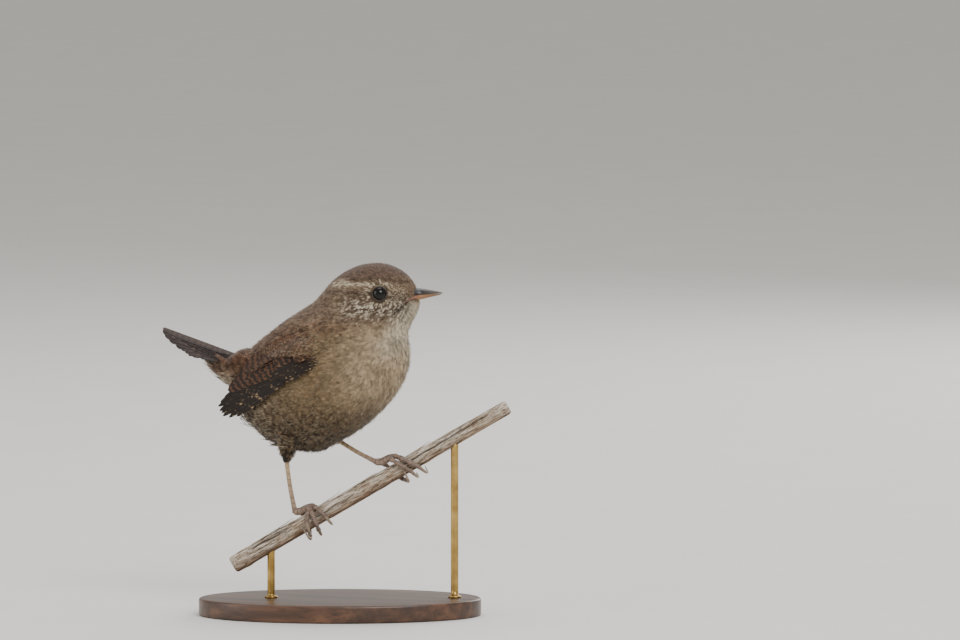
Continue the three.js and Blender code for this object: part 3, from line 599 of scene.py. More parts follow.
def wet_eye():
    """A living eye, all but black: brown iris and black pupil under a wet clear cornea with a hard glint."""
    made, tree, shader = finish("wet_eye", Roughness=0.3, Specular_IOR_Level=0.0, Coat_Weight=1.0,
                                Coat_Roughness=0.02, Coat_IOR=1.38)
    run = add(tree, "Attribute", attribute_name="run").outputs["Fac"]
    iris = add(tree, "ValToRGB", {0: run}, stops=((0, "#030303"), (0.42, "#040303"), (0.5, "#180e08"),
                                                 (0.85, "#0c0705")))
    place = add(tree, "TexCoord").outputs["Object"]
    fleck = add(tree, "TexNoise", {"Vector": place, "Scale": 1 / (0.3 * MM), "Detail": 3})
    shade = add(tree, "MapRange", {0: fleck, 3: 0.7, 4: 1.3})
    feed(tree, shader, {"Base Color": add(tree, "Mix", {0: 1, 6: iris, 7: shade}, **MULTIPLIED)})
    return made


def eyelid():
    """Bare eyelid skin: thin, grey-brown and finely creased, satin where it is damp at the rim."""
    made, tree, shader = finish("eyelid", Roughness=0.5, Subsurface_Weight=0.1, Subsurface_Scale=0.3 * MM)
    place = add(tree, "TexCoord").outputs["Object"]
    crease = add(tree, "TexNoise", {"Vector": place, "Scale": 1 / (0.35 * MM), "Detail": 4})
    colour = add(tree, "ValToRGB", {0: crease}, stops=((0.3, "#1b1512"), (0.7, "#403630")))
    bump = add(tree, "Bump", {"Height": crease, "Strength": 0.5, "Distance": 0.1 * MM})
    feed(tree, shader, {"Base Color": colour, "Normal": bump})
    return made


def dry_stem():
    """A dead plant stem, weathered: silvery tan, matt, grained along it, with splits in its skin, painted
    dark as painted shade.
    """
    made, tree, shader = finish("dry_stem", Roughness=0.85, Specular_IOR_Level=0.25)
    grain = add(tree, "Attribute", attribute_name="feather").outputs["Vector"]
    depth = add(tree, "Attribute", attribute_name="run").outputs["Fac"]
    drawn_out = add(tree, "VectorMath", {0: grain, 1: (0.08, 1, 1)}, operation="MULTIPLY")
    fibre = add(tree, "TexNoise", {"Vector": drawn_out, "Scale": 2.4, "Detail": 6})
    fibres = add(tree, "ValToRGB", {0: fibre}, stops=((0.3, "#625346"), (0.44, "#9d8d7b"),
                                                      (0.56, "#c2b6a5"), (0.72, "#e6e0d6")))
    patch = add(tree, "TexNoise", {"Vector": grain, "Scale": 0.16, "Detail": 3})
    warm = add(tree, "MapRange", {0: patch, 1: 0.45, 2: 0.75, 4: 0.55})
    toned = add(tree, "Mix", {0: warm, 6: fibres, 7: rgba("#b8946c")}, **MULTIPLIED)
    # The underside is darkened as painted shade and warmed to the stem's own brown, and the top is pitted
    # with dark flecks of lost skin
    rise = add(tree, "SeparateXYZ", {0: grain}).outputs["Y"]
    under = add(tree, "MapRange", {0: rise, 1: 0.2, 2: -2.2, 4: 0.7})
    painted_shade_underside = add(tree, "Mix", {0: under, 6: toned, 7: rgba("#a07a56")}, **MULTIPLIED)
    short = add(tree, "VectorMath", {0: grain, 1: (0.3, 1, 1)}, operation="MULTIPLY")
    fleck = add(tree, "TexNoise", {"Vector": short, "Scale": 2.0, "Detail": 5, "Roughness": 0.7})
    pit = add(tree, "MapRange", {0: fleck, 1: 0.53, 2: 0.61, 4: 0.85})
    pitted = add(tree, "Mix", {0: pit, 6: painted_shade_underside, 7: rgba("#4a3c31")}, **MIXED)
    # Painted shade: the splits, read from the run attribute, are painted towards near black
    colour = add(tree, "Mix", {0: depth, 6: pitted, 7: rgba("#1f1a18")}, **MIXED)
    bump = add(tree, "Bump", {"Height": fibre, "Strength": 0.6, "Distance": 0.3 * MM})
    feed(tree, shader, {"Base Color": colour, "Normal": bump})
    return made


def varnished_walnut():
    """Walnut under satin varnish: dark brown, straight grain that reads as fine darker lines."""
    made, tree, shader = finish("varnished_walnut", Roughness=0.4, Coat_Weight=0.25, Coat_Roughness=0.25)
    place = add(tree, "TexCoord").outputs["Object"]
    laid = add(tree, "Mapping", {"Vector": place, "Rotation": (0, 0, np.radians(-PERCH_TURN)),
                                 "Scale": (0.06, 1, 1)})
    ring = add(tree, "TexNoise", {"Vector": laid, "Scale": 1 / (4 * MM), "Detail": 5})
    pore = add(tree, "TexNoise", {"Vector": laid, "Scale": 1 / (0.8 * MM), "Detail": 3})
    rings = add(tree, "ValToRGB", {0: ring}, stops=((0.3, "#2c1a10"), (0.5, "#4a2f1e"), (0.7, "#6a4730")))
    dark = add(tree, "MapRange", {0: pore, 1: 0.55, 2: 0.7, 4: 0.5})
    colour = add(tree, "Mix", {0: dark, 6: rings, 7: rgba("#1b0f08")}, **MIXED)
    bump = add(tree, "Bump", {"Height": pore, "Strength": 0.15, "Distance": 0.1 * MM})
    feed(tree, shader, {"Base Color": colour, "Normal": bump})
    return made


def drawn_brass():
    """Drawn brass rod, a little dulled: fine lines along it from the die spread the highlight."""
    made, tree, shader = finish("drawn_brass", Metallic=1.0, Roughness=0.3)
    place = add(tree, "TexCoord").outputs["Object"]
    drawn = add(tree, "Mapping", {"Vector": place, "Scale": (1, 1, 0.03)})
    lines = add(tree, "TexNoise", {"Vector": drawn, "Scale": 1 / (0.15 * MM), "Detail": 2})
    rough = add(tree, "MapRange", {0: lines, 3: 0.24, 4: 0.42})
    dull = add(tree, "TexNoise", {"Vector": place, "Scale": 1 / (6 * MM), "Detail": 4})
    colour = add(tree, "ValToRGB", {0: dull}, stops=((0.35, "#9a7a42"), (0.65, "#c9a865")))
    feed(tree, shader, {"Base Color": colour, "Roughness": rough})
    return made


def studio_floor():
    """Matt pale paper sweep, with a faint tooth."""
    made, tree, shader = finish("studio_floor", Roughness=0.95, Specular_IOR_Level=0.1)
    place = add(tree, "TexCoord").outputs["Object"]
    tooth = add(tree, "TexNoise", {"Vector": place, "Scale": 1 / (30 * MM), "Detail": 3})
    colour = add(tree, "ValToRGB", {0: tooth}, stops=((0.2, "#d9d8d4"), (0.8, "#dedcd8")))
    feed(tree, shader, {"Base Color": colour})
    return made


# The coat's markings and sizes, as functions of the place on the bird

bill_base = turned(np.array([25.6, 0, 109.8]))
coat_sink = tail_point(20.0, 0, -2.0)
eye_centres = [turned(EYE * (1, side, 1)) for side in (-1, 1)]

# One dark bar and the gap after it
BAR_PERIOD = 2.0
# How fast the bill and the tail lose their hold on the lie with distance
LIE_FALL = 2.1


def eye_distance(points):
    """How far each point is from the middle of the nearer eye."""
    return np.min([np.linalg.norm(points - centre, axis=1) for centre in eye_centres], axis=0)


def regions(points):
    """How far each point belongs to each region of the bird, from 0 to 1."""
    level = turned(points, -1)
    x, y, z = level[:, 0], np.abs(level[:, 1]), level[:, 2]
    upper_line = 80 + (x + 35) * 0.475
    behind = (level - TAIL_ROOT) @ tail_way
    return {
        "x": x, "y": y, "z": z,
        "head": smooth(z, 97, 105),
        "near_bill": 1 - smooth(np.linalg.norm(points - bill_base, axis=1), 2, 13),
        "upper": smooth(z - upper_line, -5, 4),
        "front": smooth(x, 0, 20) * smooth(z, 62, 84),
        "low": 1 - smooth(z, 61, 82),
        "rear": smooth(-x, 8, 26),
        "coverts": smooth(behind, 0, 3),
        "under_tail": smooth(behind, -5, -1) * smooth(-((level - TAIL_ROOT) @ tail_up), 1, 4.5),
        "thigh": 1 - smooth(z, 56.5, 58.5),
    }


def coat_sizes(points):
    """The coat's depth, and its feathers' length, width and spacing."""
    place = regions(points)
    body = mix(5.5, 4.7, place["upper"])
    head = mix(2.0, 0.95, place["near_bill"])
    length = mix(body, head, place["head"])
    length = mix(length, 7.5, place["coverts"])
    length = mix(length, 9.0, place["under_tail"])
    length = mix(length, 2.4, place["thigh"])
    depth = mix(mix(2.0, 1.5, place["upper"]), mix(0.95, 0.45, place["near_bill"]), place["head"])
    depth = mix(depth, 0.7, np.maximum(place["thigh"], place["coverts"] * 0.5))
    width = mix(0.28, 0.24, place["head"]) * length + 0.08
    spacing = mix(0.088, 0.1, place["head"]) * length + 0.09
    return depth, length, width, spacing


def tuft_lots(points, ways, share, stretch):
    """A shade from 0 to 1 for each tuft: feathers round one of a share of them, drawn out along the lie."""
    chosen = points[rng.random(len(points)) < share]
    tree = KDTree(len(chosen))
    for number, place in enumerate(chosen):
        tree.insert(place, number)
    tree.balance()
    near = np.array([[found[1] for found in tree.find_n(point, 12)] for point in points])
    apart = chosen[near] - points[:, None]
    along = (apart * ways[:, None]).sum(2)
    distance = (apart**2).sum(2) - (1 - 1 / stretch**2) * along**2
    return rng.random(len(chosen))[near[np.arange(len(points)), distance.argmin(1)]]


def painted(under, code, share):
    """Colours with one more laid over them, as strongly as its share."""
    return mix(under, linear(code), np.clip(share, 0, 1)[:, None])


def body_tint(place, tufts):
    tint = painted(np.zeros((len(tufts), 3)), "#786449", np.ones(len(tufts)))
    tint = painted(tint, "#a18d72", place["front"])
    # The belly and the lower rear are painted darker brown: partly their own darker colour, partly painted
    # shade of the underside
    tint = painted(tint, "#514130", place["low"] * 0.85)
    tint = painted(tint, "#564432", place["rear"] * (1 - place["upper"]) * 0.85)
    tint = painted(tint, "#624732", place["upper"])
    tint = painted(tint, "#5c402e", place["upper"] * place["rear"])
    tint = painted(tint, "#594539", place["coverts"])
    cream = place["under_tail"] * (1 - place["upper"])
    tint = painted(tint, "#cdc1a8", cream * np.where(tufts > 0.3, 0.95, 0.1))
    return painted(tint, "#2c231c", place["thigh"])


def brow_line(x):
    return 113.35 + np.where(x < EYE[0], 0.03, 0.12) * (EYE[0] - x)


def head_areas(place):
    """How far each point belongs to the crown, the throat, the brow stripe and the cheek."""
    x, y, z, head = (place[key] for key in ("x", "y", "z", "head"))
    crown = smooth(z, 113.8, 116) * head
    throat = smooth(x + (107 - z) * 0.3, 19, 25) * (1 - smooth(z, 106.5, 109)) * smooth(z, 88, 98)
    brow = bump_at(z, brow_line(x), 0.5 + 0.7 * (1 - smooth(x, 3, 9)))
    brow = brow * smooth(x, -5, 2) * (1 - smooth(x, 20, 23)) * smooth(y, 3, 5)
    cheek = bump_at(z, 105.7, 4.0) * smooth(x, 0, 9) * (1 - smooth(x, 25, 28)) * smooth(y, 2, 4) * head
    return crown, throat, brow, cheek


def head_tint(tint, points, place, tufts):
    """The head's colours over the body's: crown, throat, stripes, lores, cheek, eye ring and gape."""
    x, y, z, head = (place[key] for key in ("x", "y", "z", "head"))
    crown, throat, brow, cheek = head_areas(place)
    tint = painted(tint, "#7d6853", head)
    tint = painted(tint, "#685447", np.maximum(crown, head * smooth(-x, -4, 4) * 0.7))
    tint = painted(tint, "#b5aa95", throat * 0.8)
    stripe = bump_at(z, 110.2 - 0.06 * (x - 15), 1.2) * head * smooth(y, 3, 5) * (1 - smooth(x, 25, 27))
    tint = painted(tint, "#56463a", stripe * 0.75)
    tint = painted(tint, "#bbaf99", brow * mix(0.05, 0.95, smooth(tufts, 0.4, 0.6)))
    lores = bump_at(z, 111.4, 1.0) * smooth(x, 18, 19.5) * (1 - smooth(x, 24, 25.5)) * smooth(y, 2, 4)
    tint = painted(tint, "#a8977e", lores * np.where(tufts > 0.5, 0.8, 0))
    over_brow = bump_at(z, brow_line(x) + 1.4, 0.55) * smooth(x, 4, 10) * (1 - smooth(x, 24, 26))
    tint = painted(tint, "#3d3027", over_brow * 0.7)
    tint = painted(tint, "#4c3f35", cheek * 0.75)
    tint = painted(tint, "#bdb2a0", cheek * 0.95 * smooth(tufts, 0.45, 0.95))
    ring = bump_at(eye_distance(points), 3.3, 0.5)
    tint = painted(tint, "#b3a58c", ring * np.where(tufts > 0.5, 0.7, 0.05))
    gape = bump_at(np.abs((z - 107.6) - (x - 24.2) * 0.95), 0, 0.45)
    gape = gape * smooth(x, 19, 20.5) * (1 - smooth(x, 24.5, 25.5)) * smooth(y, 2, 4)
    return painted(tint, "#2e241d", gape * 0.85)


def coat_marks(place, lots, tufts):
    """How strong each feather's bars and its pale tip are."""
    head, upper = place["head"], place["upper"]
    crown, throat, brow, cheek = head_areas(place)
    bars = mix(0.25, 0.85, np.maximum(place["low"], place["rear"] * (1 - upper)))
    bars = mix(bars, 0.42, upper)
    bars = mix(bars, 0.3, head)
    bars = np.maximum(bars * (1 - 0.6 * place["front"]), crown * 0.3)
    bars = np.maximum(bars, place["under_tail"] * 0.6)
    bars = bars * (1 - brow) * (1 - throat) * (1 - place["thigh"]) * (1 - cheek)
    tips = 0.35 * place["low"] + 0.55 * place["rear"] * (1 - upper) + 0.35 * (1 - upper)
    tips = np.clip(np.maximum(tips, place["under_tail"] * 0.9), 0, 1) * (lots < 0.6)
    tips = tips * (1 - head) * (1 - place["thigh"])
    nape = head * (1 - crown) + bump_at(place["z"], 96, 6) * (1 - place["front"])
    tips = np.maximum(tips, 0.55 * np.clip(nape, 0, 1) * (tufts > 0.6))
    return bars, np.maximum(tips, 0.5 * upper * (1 - head) * (tufts > 0.7))


def plumage(points, lots, tufts):
    """The coat's colours and marks: linear tint, and bars, pale tips and how many bars."""
    place = regions(points)
    tint = head_tint(body_tint(place, tufts), points, place, tufts)
    contrast = (0.3 + 0.12 * np.maximum(place["head"], place["upper"]))[:, None]
    tint = tint * mix(0.9, 1.1, lots[:, None]) * (1 + contrast * (2 * tufts[:, None] - 1))
    bars, tips = coat_marks(place, lots, tufts)
    return tint, np.stack([bars, tips, coat_sizes(points)[1] / BAR_PERIOD], -1)


def lie(points):
    """The way that feathers lie: away from the bill, round the eyes and in towards the tail."""
    away = points - bill_base
    towards = coat_sink - points
    near = np.linalg.norm(away, axis=1, keepdims=True)
    far = np.linalg.norm(towards, axis=1, keepdims=True)
    way = unit(away / near**LIE_FALL + towards / far**LIE_FALL)
    for centre in eye_centres:
        out = points - centre
        gone = np.linalg.norm(out, axis=1, keepdims=True)
        way = way + 1.6 * (out / gone) * np.exp(-np.maximum(gone - EYE_RADIUS, 0) / 1.3)
    thigh = regions(points)["thigh"][:, None]
    return unit(mix(unit(way), np.array([-0.1, 0, -1.0]), thigh))


# Skin: the body, tail root and thighs in one, inside the coat by its depth

SKIN_RINGS = 110
SKIN_SIDES = 96
SKIN_VOXEL = 0.5
COVERT_RINGS = 24
COVERT_SIDES = 40


def sunk_body():
    place, angle = np.meshgrid(np.linspace(0.12, LAST - 0.12, SKIN_RINGS),
                               np.linspace(0, 2 * np.pi, SKIN_SIDES, endpoint=False), indexing="ij")
    nudge = 0.02
    down = body_point(place + nudge, angle) - body_point(place - nudge, angle)
    around = body_point(place, angle + nudge) - body_point(place, angle - nudge)
    out = unit(-np.cross(around, down))
    points = body_point(place, angle)
    depth = coat_sizes(turned(points).reshape(-1, 3))[0].reshape(points.shape[:2])
    return rings_mesh(turned(points - depth[..., None] * out))


def sunk_coverts():
    angle = np.linspace(0, 2 * np.pi, COVERT_SIDES, endpoint=False)
    stations = curve_through([ring[:3] for ring in COVERTS], COVERT_RINGS)
    halves = np.interp(stations[:, 0], [ring[0] for ring in COVERTS], [ring[3] for ring in COVERTS])
    rings = []
    for (along, up, down), half in zip(stations, halves):
        across = (half - 0.8) * np.cos(angle)
        height = np.sin(angle) * np.where(np.sin(angle) > 0, max(up - 0.5, 0.3), max(down - 1.0, 0.5))
        under_tail = tail_tent(across) - TAIL_STACK - 0.6
        height = np.minimum(height, mix(height, under_tail, smooth(along, 0, 5)))
        rings.append(tail_point(np.full(COVERT_SIDES, along), across, height))
    return rings_mesh(np.array(rings))


def thigh_line(side):
    ankle = ANKLES[side]
    hip = np.array([mix(HIP[0], ankle[0], 0.5), np.sign(ankle[1]) * HIP[1], HIP[2] + 2])
    end = ankle + unit(ankle - hip) * 0.6
    return hip, end


def sunk_thigh(side):
    hip, end = thigh_line(side)
    share = np.linspace(0, 1, 14)
    radii = mix(3.9, 1.25, share ** 0.8) - 0.45
    return rings_mesh(limb_rings(mix(hip, end, share[:, None]), radii, 20, top=(1, 0, 0)))


def remeshed(mesh, voxel, rounds):
    """A mesh fused into one closed skin and eased."""
    made = bpy.data.objects.new("fused", mesh)
    bpy.context.scene.collection.objects.link(made)
    fuse = made.modifiers.new("fuse", "REMESH")
    fuse.mode = "VOXEL"
    fuse.voxel_size = voxel * MM
    ease = made.modifiers.new("ease", "SMOOTH")
    ease.factor = 0.5
    ease.iterations = rounds
    bpy.context.view_layer.update()
    fused = bpy.data.meshes.new_from_object(made.evaluated_get(bpy.context.evaluated_depsgraph_get()))
    bpy.data.objects.remove(made)
    return fused


def mesh_arrays(mesh):
    """A mesh's points in millimetres, its normals, and its faces as triangles."""
    mesh.calc_loop_triangles()
    points = np.empty(len(mesh.vertices) * 3, np.float32)
    mesh.vertices.foreach_get("co", points)
    normals = np.empty(len(mesh.vertices) * 3, np.float32)
    mesh.vertices.foreach_get("normal", normals)
    triangles = np.empty(len(mesh.loop_triangles) * 3, np.int32)
    mesh.loop_triangles.foreach_get("vertices", triangles)
    points, normals = (values.reshape(-1, 3).astype(float) for values in (points, normals))
    return points / MM, normals, triangles.reshape(-1, 3)


skin_shells = together([sunk_body(), sunk_coverts(), sunk_thigh("right"), sunk_thigh("left")])
skin_mesh = remeshed(bare_mesh("skin", *skin_shells), SKIN_VOXEL, 6)
skin_points, skin_normals, skin_triangles = mesh_arrays(skin_mesh)
level_lots = np.full(len(skin_points), 0.5)
skin_tint = plumage(skin_points, level_lots, level_lots)[0]
skin_mesh.attributes.new("tint", "FLOAT_COLOR", "POINT").data.foreach_set(
    "color", np.hstack([skin_tint, np.ones((len(skin_tint), 1))]).astype(np.float32).ravel())
skin_mesh.polygons.foreach_set("use_smooth", np.ones(len(skin_mesh.polygons), bool))
piece("skin", skin_mesh, down_on_skin(),
      ("head", "neck", "torso", "tail_coverts", "thigh_right", "thigh_left"))

skin_tree = BVHTree.FromPolygons([Vector(p) for p in skin_points], skin_triangles.tolist())


def onto_skin(points):
    """The nearest points of the skin, and its eased normals there."""
    found = [skin_tree.find_nearest(Vector(p)) for p in points]
    places = np.array([hit[0] for hit in found])
    corner = skin_triangles[[hit[2] for hit in found]]
    return places, unit(skin_normals[corner].mean(1))


# Coat: fringed feathers of one pattern, each bent over the skin that it lies on

FINGERS = 6
ROW_SHARES = (0.0, 0.45, 0.76, 1.0)
NORMAL_FROM_SKIN = 0.6
# Each feather's own patch on the unwrap, and how many places are tried for each that may be kept
UNWRAP_PATCH = 0.003
SCATTER_TRIES = 2.4


def feather_pattern():
    """One feather's faces, and each point's row, place across and finger: two whole rows, then fingers."""
    rows, across, finger = [], [], []
    for row in (0, 1):
        for j in range(FINGERS + 1):
            rows.append(row)
            across.append(2 * j / FINGERS - 1)
            finger.append(-1)
    for j in range(FINGERS):
        middle = 2 * (j + 0.5) / FINGERS - 1
        for edge in (-1, 1):
            rows.append(2)
            across.append(middle + edge * 0.75 / FINGERS)
            finger.append(j)
    for j in range(FINGERS):
        rows.append(3)
        across.append(2 * (j + 0.5) / FINGERS - 1)
        finger.append(j)
    faces = []
    second, third, last = FINGERS + 1, 2 * FINGERS + 2, 4 * FINGERS + 2
    for j in range(FINGERS):
        faces += [(j, j + 1, second + j + 1), (j, second + j + 1, second + j)]
        left, right = third + 2 * j, third + 2 * j + 1
        faces += [(second + j, second + j + 1, right), (second + j, right, left), (left, right, last + j)]
    return np.array(faces), np.array(rows), np.array(across), np.array(finger)


PATTERN = feather_pattern()


def eased_normals(mesh, eased):
    """The mesh's own normals, turned to the skin's side and eased towards the skin's."""
    own = np.empty(len(mesh.vertices) * 3, np.float32)
    mesh.vertices.foreach_get("normal", own)
    own = own.reshape(-1, 3)
    facing = np.sign((own * eased).sum(1, keepdims=True))
    return unit(mix(own * np.where(facing == 0, 1, facing), eased, NORMAL_FROM_SKIN))


def feathers(name, rows_at, normals_at, widths, depths, lots, tint, marks, unwrap):
    """Fringed feathers as one piece. rows_at and normals_at hold each feather's line over its four rows."""
    pattern, row, across, finger = PATTERN
    count = len(widths)
    ways = unit(np.gradient(rows_at, axis=1))
    sideways = unit(np.cross(ways, normals_at))
    reach = rng.uniform(-0.16, 0.06, (count, FINGERS))
    sway = rng.normal(0, 0.1, (count, FINGERS))
    loft = rng.normal(0, 0.12, (count, FINGERS))
    spread = np.array([0.4, 1.0, 1.05, 1.15])[row]
    centre = rows_at[:, row]
    off = across * spread
    in_tip = row == 3
    own = np.where(finger >= 0, finger, 0)
    off = off + np.where(in_tip, sway[:, own], 0)
    points = centre + (widths[:, None] / 2 * off)[..., None] * sideways[:, row]
    round_off = -0.22 * across**2 * np.isin(row, (2, 3))
    run = np.linalg.norm(rows_at[:, 3] - rows_at[:, 0], axis=1)
    push = round_off + np.where(in_tip, reach[:, own], 0)
    points = points + (run[:, None] * push)[..., None] * ways[:, row]
    cup = -0.16 * widths[:, None] * across**2 * np.array([0.3, 1, 1, 0.8])[row]
    lift = np.where(in_tip, loft[:, own] * depths[:, None] * 1.4, 0)
    points = points + (cup + lift)[..., None] * normals_at[:, row]
    along = np.array(ROW_SHARES)[row] + push
    local = np.stack(np.broadcast_arrays(across, along, lots[:, None]), -1)
    total = len(row)
    faces = (pattern[None] + (np.arange(count) * total)[:, None, None]).reshape(-1, 3)
    mesh = bare_mesh(name, points.reshape(-1, 3), [faces], {
        "feather": local.reshape(-1, 3),
        "tint": np.hstack([np.repeat(tint, total, axis=0), np.ones((count * total, 1))]),
        "marks": np.repeat(marks, total, axis=0),
    })
    from_middle = np.stack(np.broadcast_arrays(across / 2, along - 0.5), -1) * UNWRAP_PATCH
    uv = unwrap[:, None] + from_middle
    layer = mesh.uv_layers.new(name="OFBake")
    layer.uv.foreach_set("vector", uv.reshape(-1, 2)[faces.ravel()].astype(np.float32).ravel())
    soft = eased_normals(mesh, normals_at[:, row].reshape(-1, 3))
    mesh.normals_split_custom_set_from_vertices(soft.astype(np.float32))
    return mesh


def scatter(points, triangles, spacing_at):
    """Random places on a surface that keep their own spacing from each other."""
    corners = points[triangles]
    normal = np.cross(corners[:, 1] - corners[:, 0], corners[:, 2] - corners[:, 0])
    area = np.linalg.norm(normal, axis=1) / 2
    spacing = spacing_at(corners.mean(1))
    wanted = area / spacing**2 * SCATTER_TRIES
    picked = rng.choice(len(triangles), int(wanted.sum()), p=wanted / wanted.sum())
    a, b = rng.random((2, len(picked)))
    over = a + b > 1
    a, b = np.where(over, 1 - a, a), np.where(over, 1 - b, b)
    base = corners[picked]
    places = base[:, 0] + a[:, None] * (base[:, 1] - base[:, 0]) + b[:, None] * (base[:, 2] - base[:, 0])
    gaps = spacing[picked]
    tree = KDTree(len(places))
    for i, p in enumerate(places):
        tree.insert(p, i)
    tree.balance()
    kept = np.ones(len(places), bool)
    for i, p in enumerate(places):
        if kept[i]:
            for _, other, _ in tree.find_range(p, gaps[i]):
                if other > i:
                    kept[other] = False
    return places[kept]


def wing_frame(points):
    """Each point's place along and across the wing of its own side."""
    flat = points - WRIST
    return flat @ wing_way, flat @ wing_up


def over_wing(points):
    """How far the coat rises to lie over a wing's front and upper edge."""
    along, across = wing_frame(points)
    return 2.0 * smooth(along, -5, 0) * (1 - smooth(along, 6, 10)) * smooth(across, -6, -2) * (
        1 - smooth(across, 9, 13))


def under_wing(points):
    along, across = wing_frame(points)
    front = 2.5 + 1.3 * np.maximum(across - 3, 0)
    return (along > front) & (along < 25) & (across > -0.5) & (across < 7.5)


def under_tail_vanes(points):
    """Where the tail's own feathers show, past the short coverts above them."""
    behind = (points - TAIL_ROOT) @ tail_way
    height = (points - TAIL_ROOT) @ tail_up
    return (behind > 3.5) & (height > tail_tent(points[:, 1]) - TAIL_STACK - 1.2)


def unwrapped(points):
    """The places of the coat's roots on an unwrap of the skin, round its upright axis and up it."""
    level = turned(points, -1)
    middle = np.interp(-level[:, 2], -LEVELS[:, 0], LEVELS[:, 4])
    round_it = np.arctan2(level[:, 1], level[:, 0] - middle) / (2 * np.pi) + 0.5
    up_it = (level[:, 2] - 50) / 72
    behind = (level - TAIL_ROOT) @ tail_way
    on_tail = behind > 0
    u = np.where(on_tail, 0.87 + 0.1 * (level[:, 1] + 8) / 16, 0.02 + 0.82 * round_it)
    v = np.where(on_tail, 0.03 + 0.9 * ((level - TAIL_ROOT) @ tail_up + 12) / 18, 0.02 + 0.95 * up_it)
    return np.stack([u, v], -1)


def coat_rows(roots, ways, lengths, depths):
    """Each feather's four rows over the skin, from its root down its lie, and the skin's normals there."""
    place, normal = onto_skin(roots)
    rows, normals = [], []
    here = 0.0
    for share in ROW_SHARES:
        step = (share - here) * lengths
        here = share
        way = ways - (ways * normal).sum(1, keepdims=True) * normal
        place, normal = onto_skin(place + unit(way) * step[:, None])
        height = depths * (0.1 + 0.95 * share**0.8) + over_wing(place) * (0.4 + 0.6 * share)
        rows.append(place + height[:, None] * normal)
        normals.append(normal)
        ways = unit(mix(ways, lie(place), 0.5))
    return np.stack(rows, 1), np.stack(normals, 1)


def coat_spacing(points):
    return coat_sizes(points)[3]


def coat_roots():
    """Where the coat's feathers grow: all over the skin but the eyes, the bill, the wings and the tail."""
    roots = scatter(skin_points, skin_triangles, coat_spacing)
    bill = turned(roots, -1)
    on_bill = (bill[:, 0] > 24.5) & (np.abs(bill[:, 1]) < 1.7) & (np.abs(bill[:, 2] - 109.9) < 1.7)
    clear = eye_distance(roots) > EYE_RADIUS + 0.25
    return roots[clear & ~on_bill & ~under_wing(roots) & ~under_tail_vanes(roots)]


HEAD_PARTS = ("crown", "face_right", "face_left")
COAT_PARTS = (*HEAD_PARTS, "neck", "back", "breast", "flank_right", "flank_left", "belly", "rump")


def coat_part(roots):
    """Which piece of the coat each root belongs to."""
    place = regions(roots)
    left = roots[:, 1] > 0
    part = np.where(left, "flank_left", "flank_right")
    part = np.where(place["x"] > 6, "breast", part)
    part = np.where(place["z"] < 66, "belly", part)
    part = np.where(place["upper"] > 0.5, "back", part)
    part = np.where(place["x"] < -31, "rump", part)
    part = np.where(place["z"] > 97, "neck", part)
    part = np.where(place["z"] > 104, np.where(left, "face_left", "face_right"), part)
    return np.where(place["z"] > 113, "crown", part)


def bar_phase(roots, lots):
    """Bars run on from feather to feather and waver, as each one's phase is its place along the lie."""
    waver = 0.35 * np.sin(roots[:, 1] * 0.9 + roots[:, 2] * 0.35)
    waver = waver + 0.25 * np.sin(roots[:, 2] * 0.8 + roots[:, 0])
    phase = np.linalg.norm(roots - bill_base, axis=1) / BAR_PERIOD + waver
    return phase + mix(0.08, 0.7, regions(roots)["head"]) * lots


def grow_coat(cloth):
    roots = coat_roots()
    depth, length, width = coat_sizes(roots)[:3]
    count = len(roots)
    lots = rng.random(count)
    eye_room = np.maximum(eye_distance(roots) - EYE_RADIUS, 0) * 1.2 + 0.5
    length = np.minimum(length * rng.uniform(0.8, 1.15, count), eye_room)
    width = np.minimum(width * rng.uniform(0.85, 1.15, count), length * 0.6)
    depth = depth * rng.uniform(0.8, 1.15, count)
    place = regions(roots)
    ragged = 0.04 * place["low"] * place["rear"] * (1 - place["thigh"]) + 0.3 * place["under_tail"]
    loose = rng.random(count) < ragged
    length = np.where(loose, length * 1.15, length)
    depth = np.where(loose, depth * 1.9, depth)
    ways = unit(lie(roots) + rng.normal(0, 0.11, (count, 3)))
    rows, normals = coat_rows(roots, ways, length, depth)
    tufts = np.where(roots[:, 2] > 101, tuft_lots(roots, ways, 0.8, 1.5), tuft_lots(roots, ways, 0.45, 1.6))
    tint, marks = plumage(roots, lots, tufts)
    phase = bar_phase(roots, lots)
    unwrap = unwrapped(roots)
    part = coat_part(roots)
    for name in COAT_PARTS:
        own = part == name
        mesh = feathers("coat_" + name, rows[own], normals[own], width[own], depth[own], phase[own],
                        tint[own], marks[own], unwrap[own])
        piece("coat_" + name, mesh, cloth)


contour = contour_feathers()
grow_coat(contour)


# Flight feathers, one thin closed vane each

VANE_ROWS = 26
VANE_COLUMNS = 6
VANE_THICK = 0.14
SHAFT_RAISE = 0.1

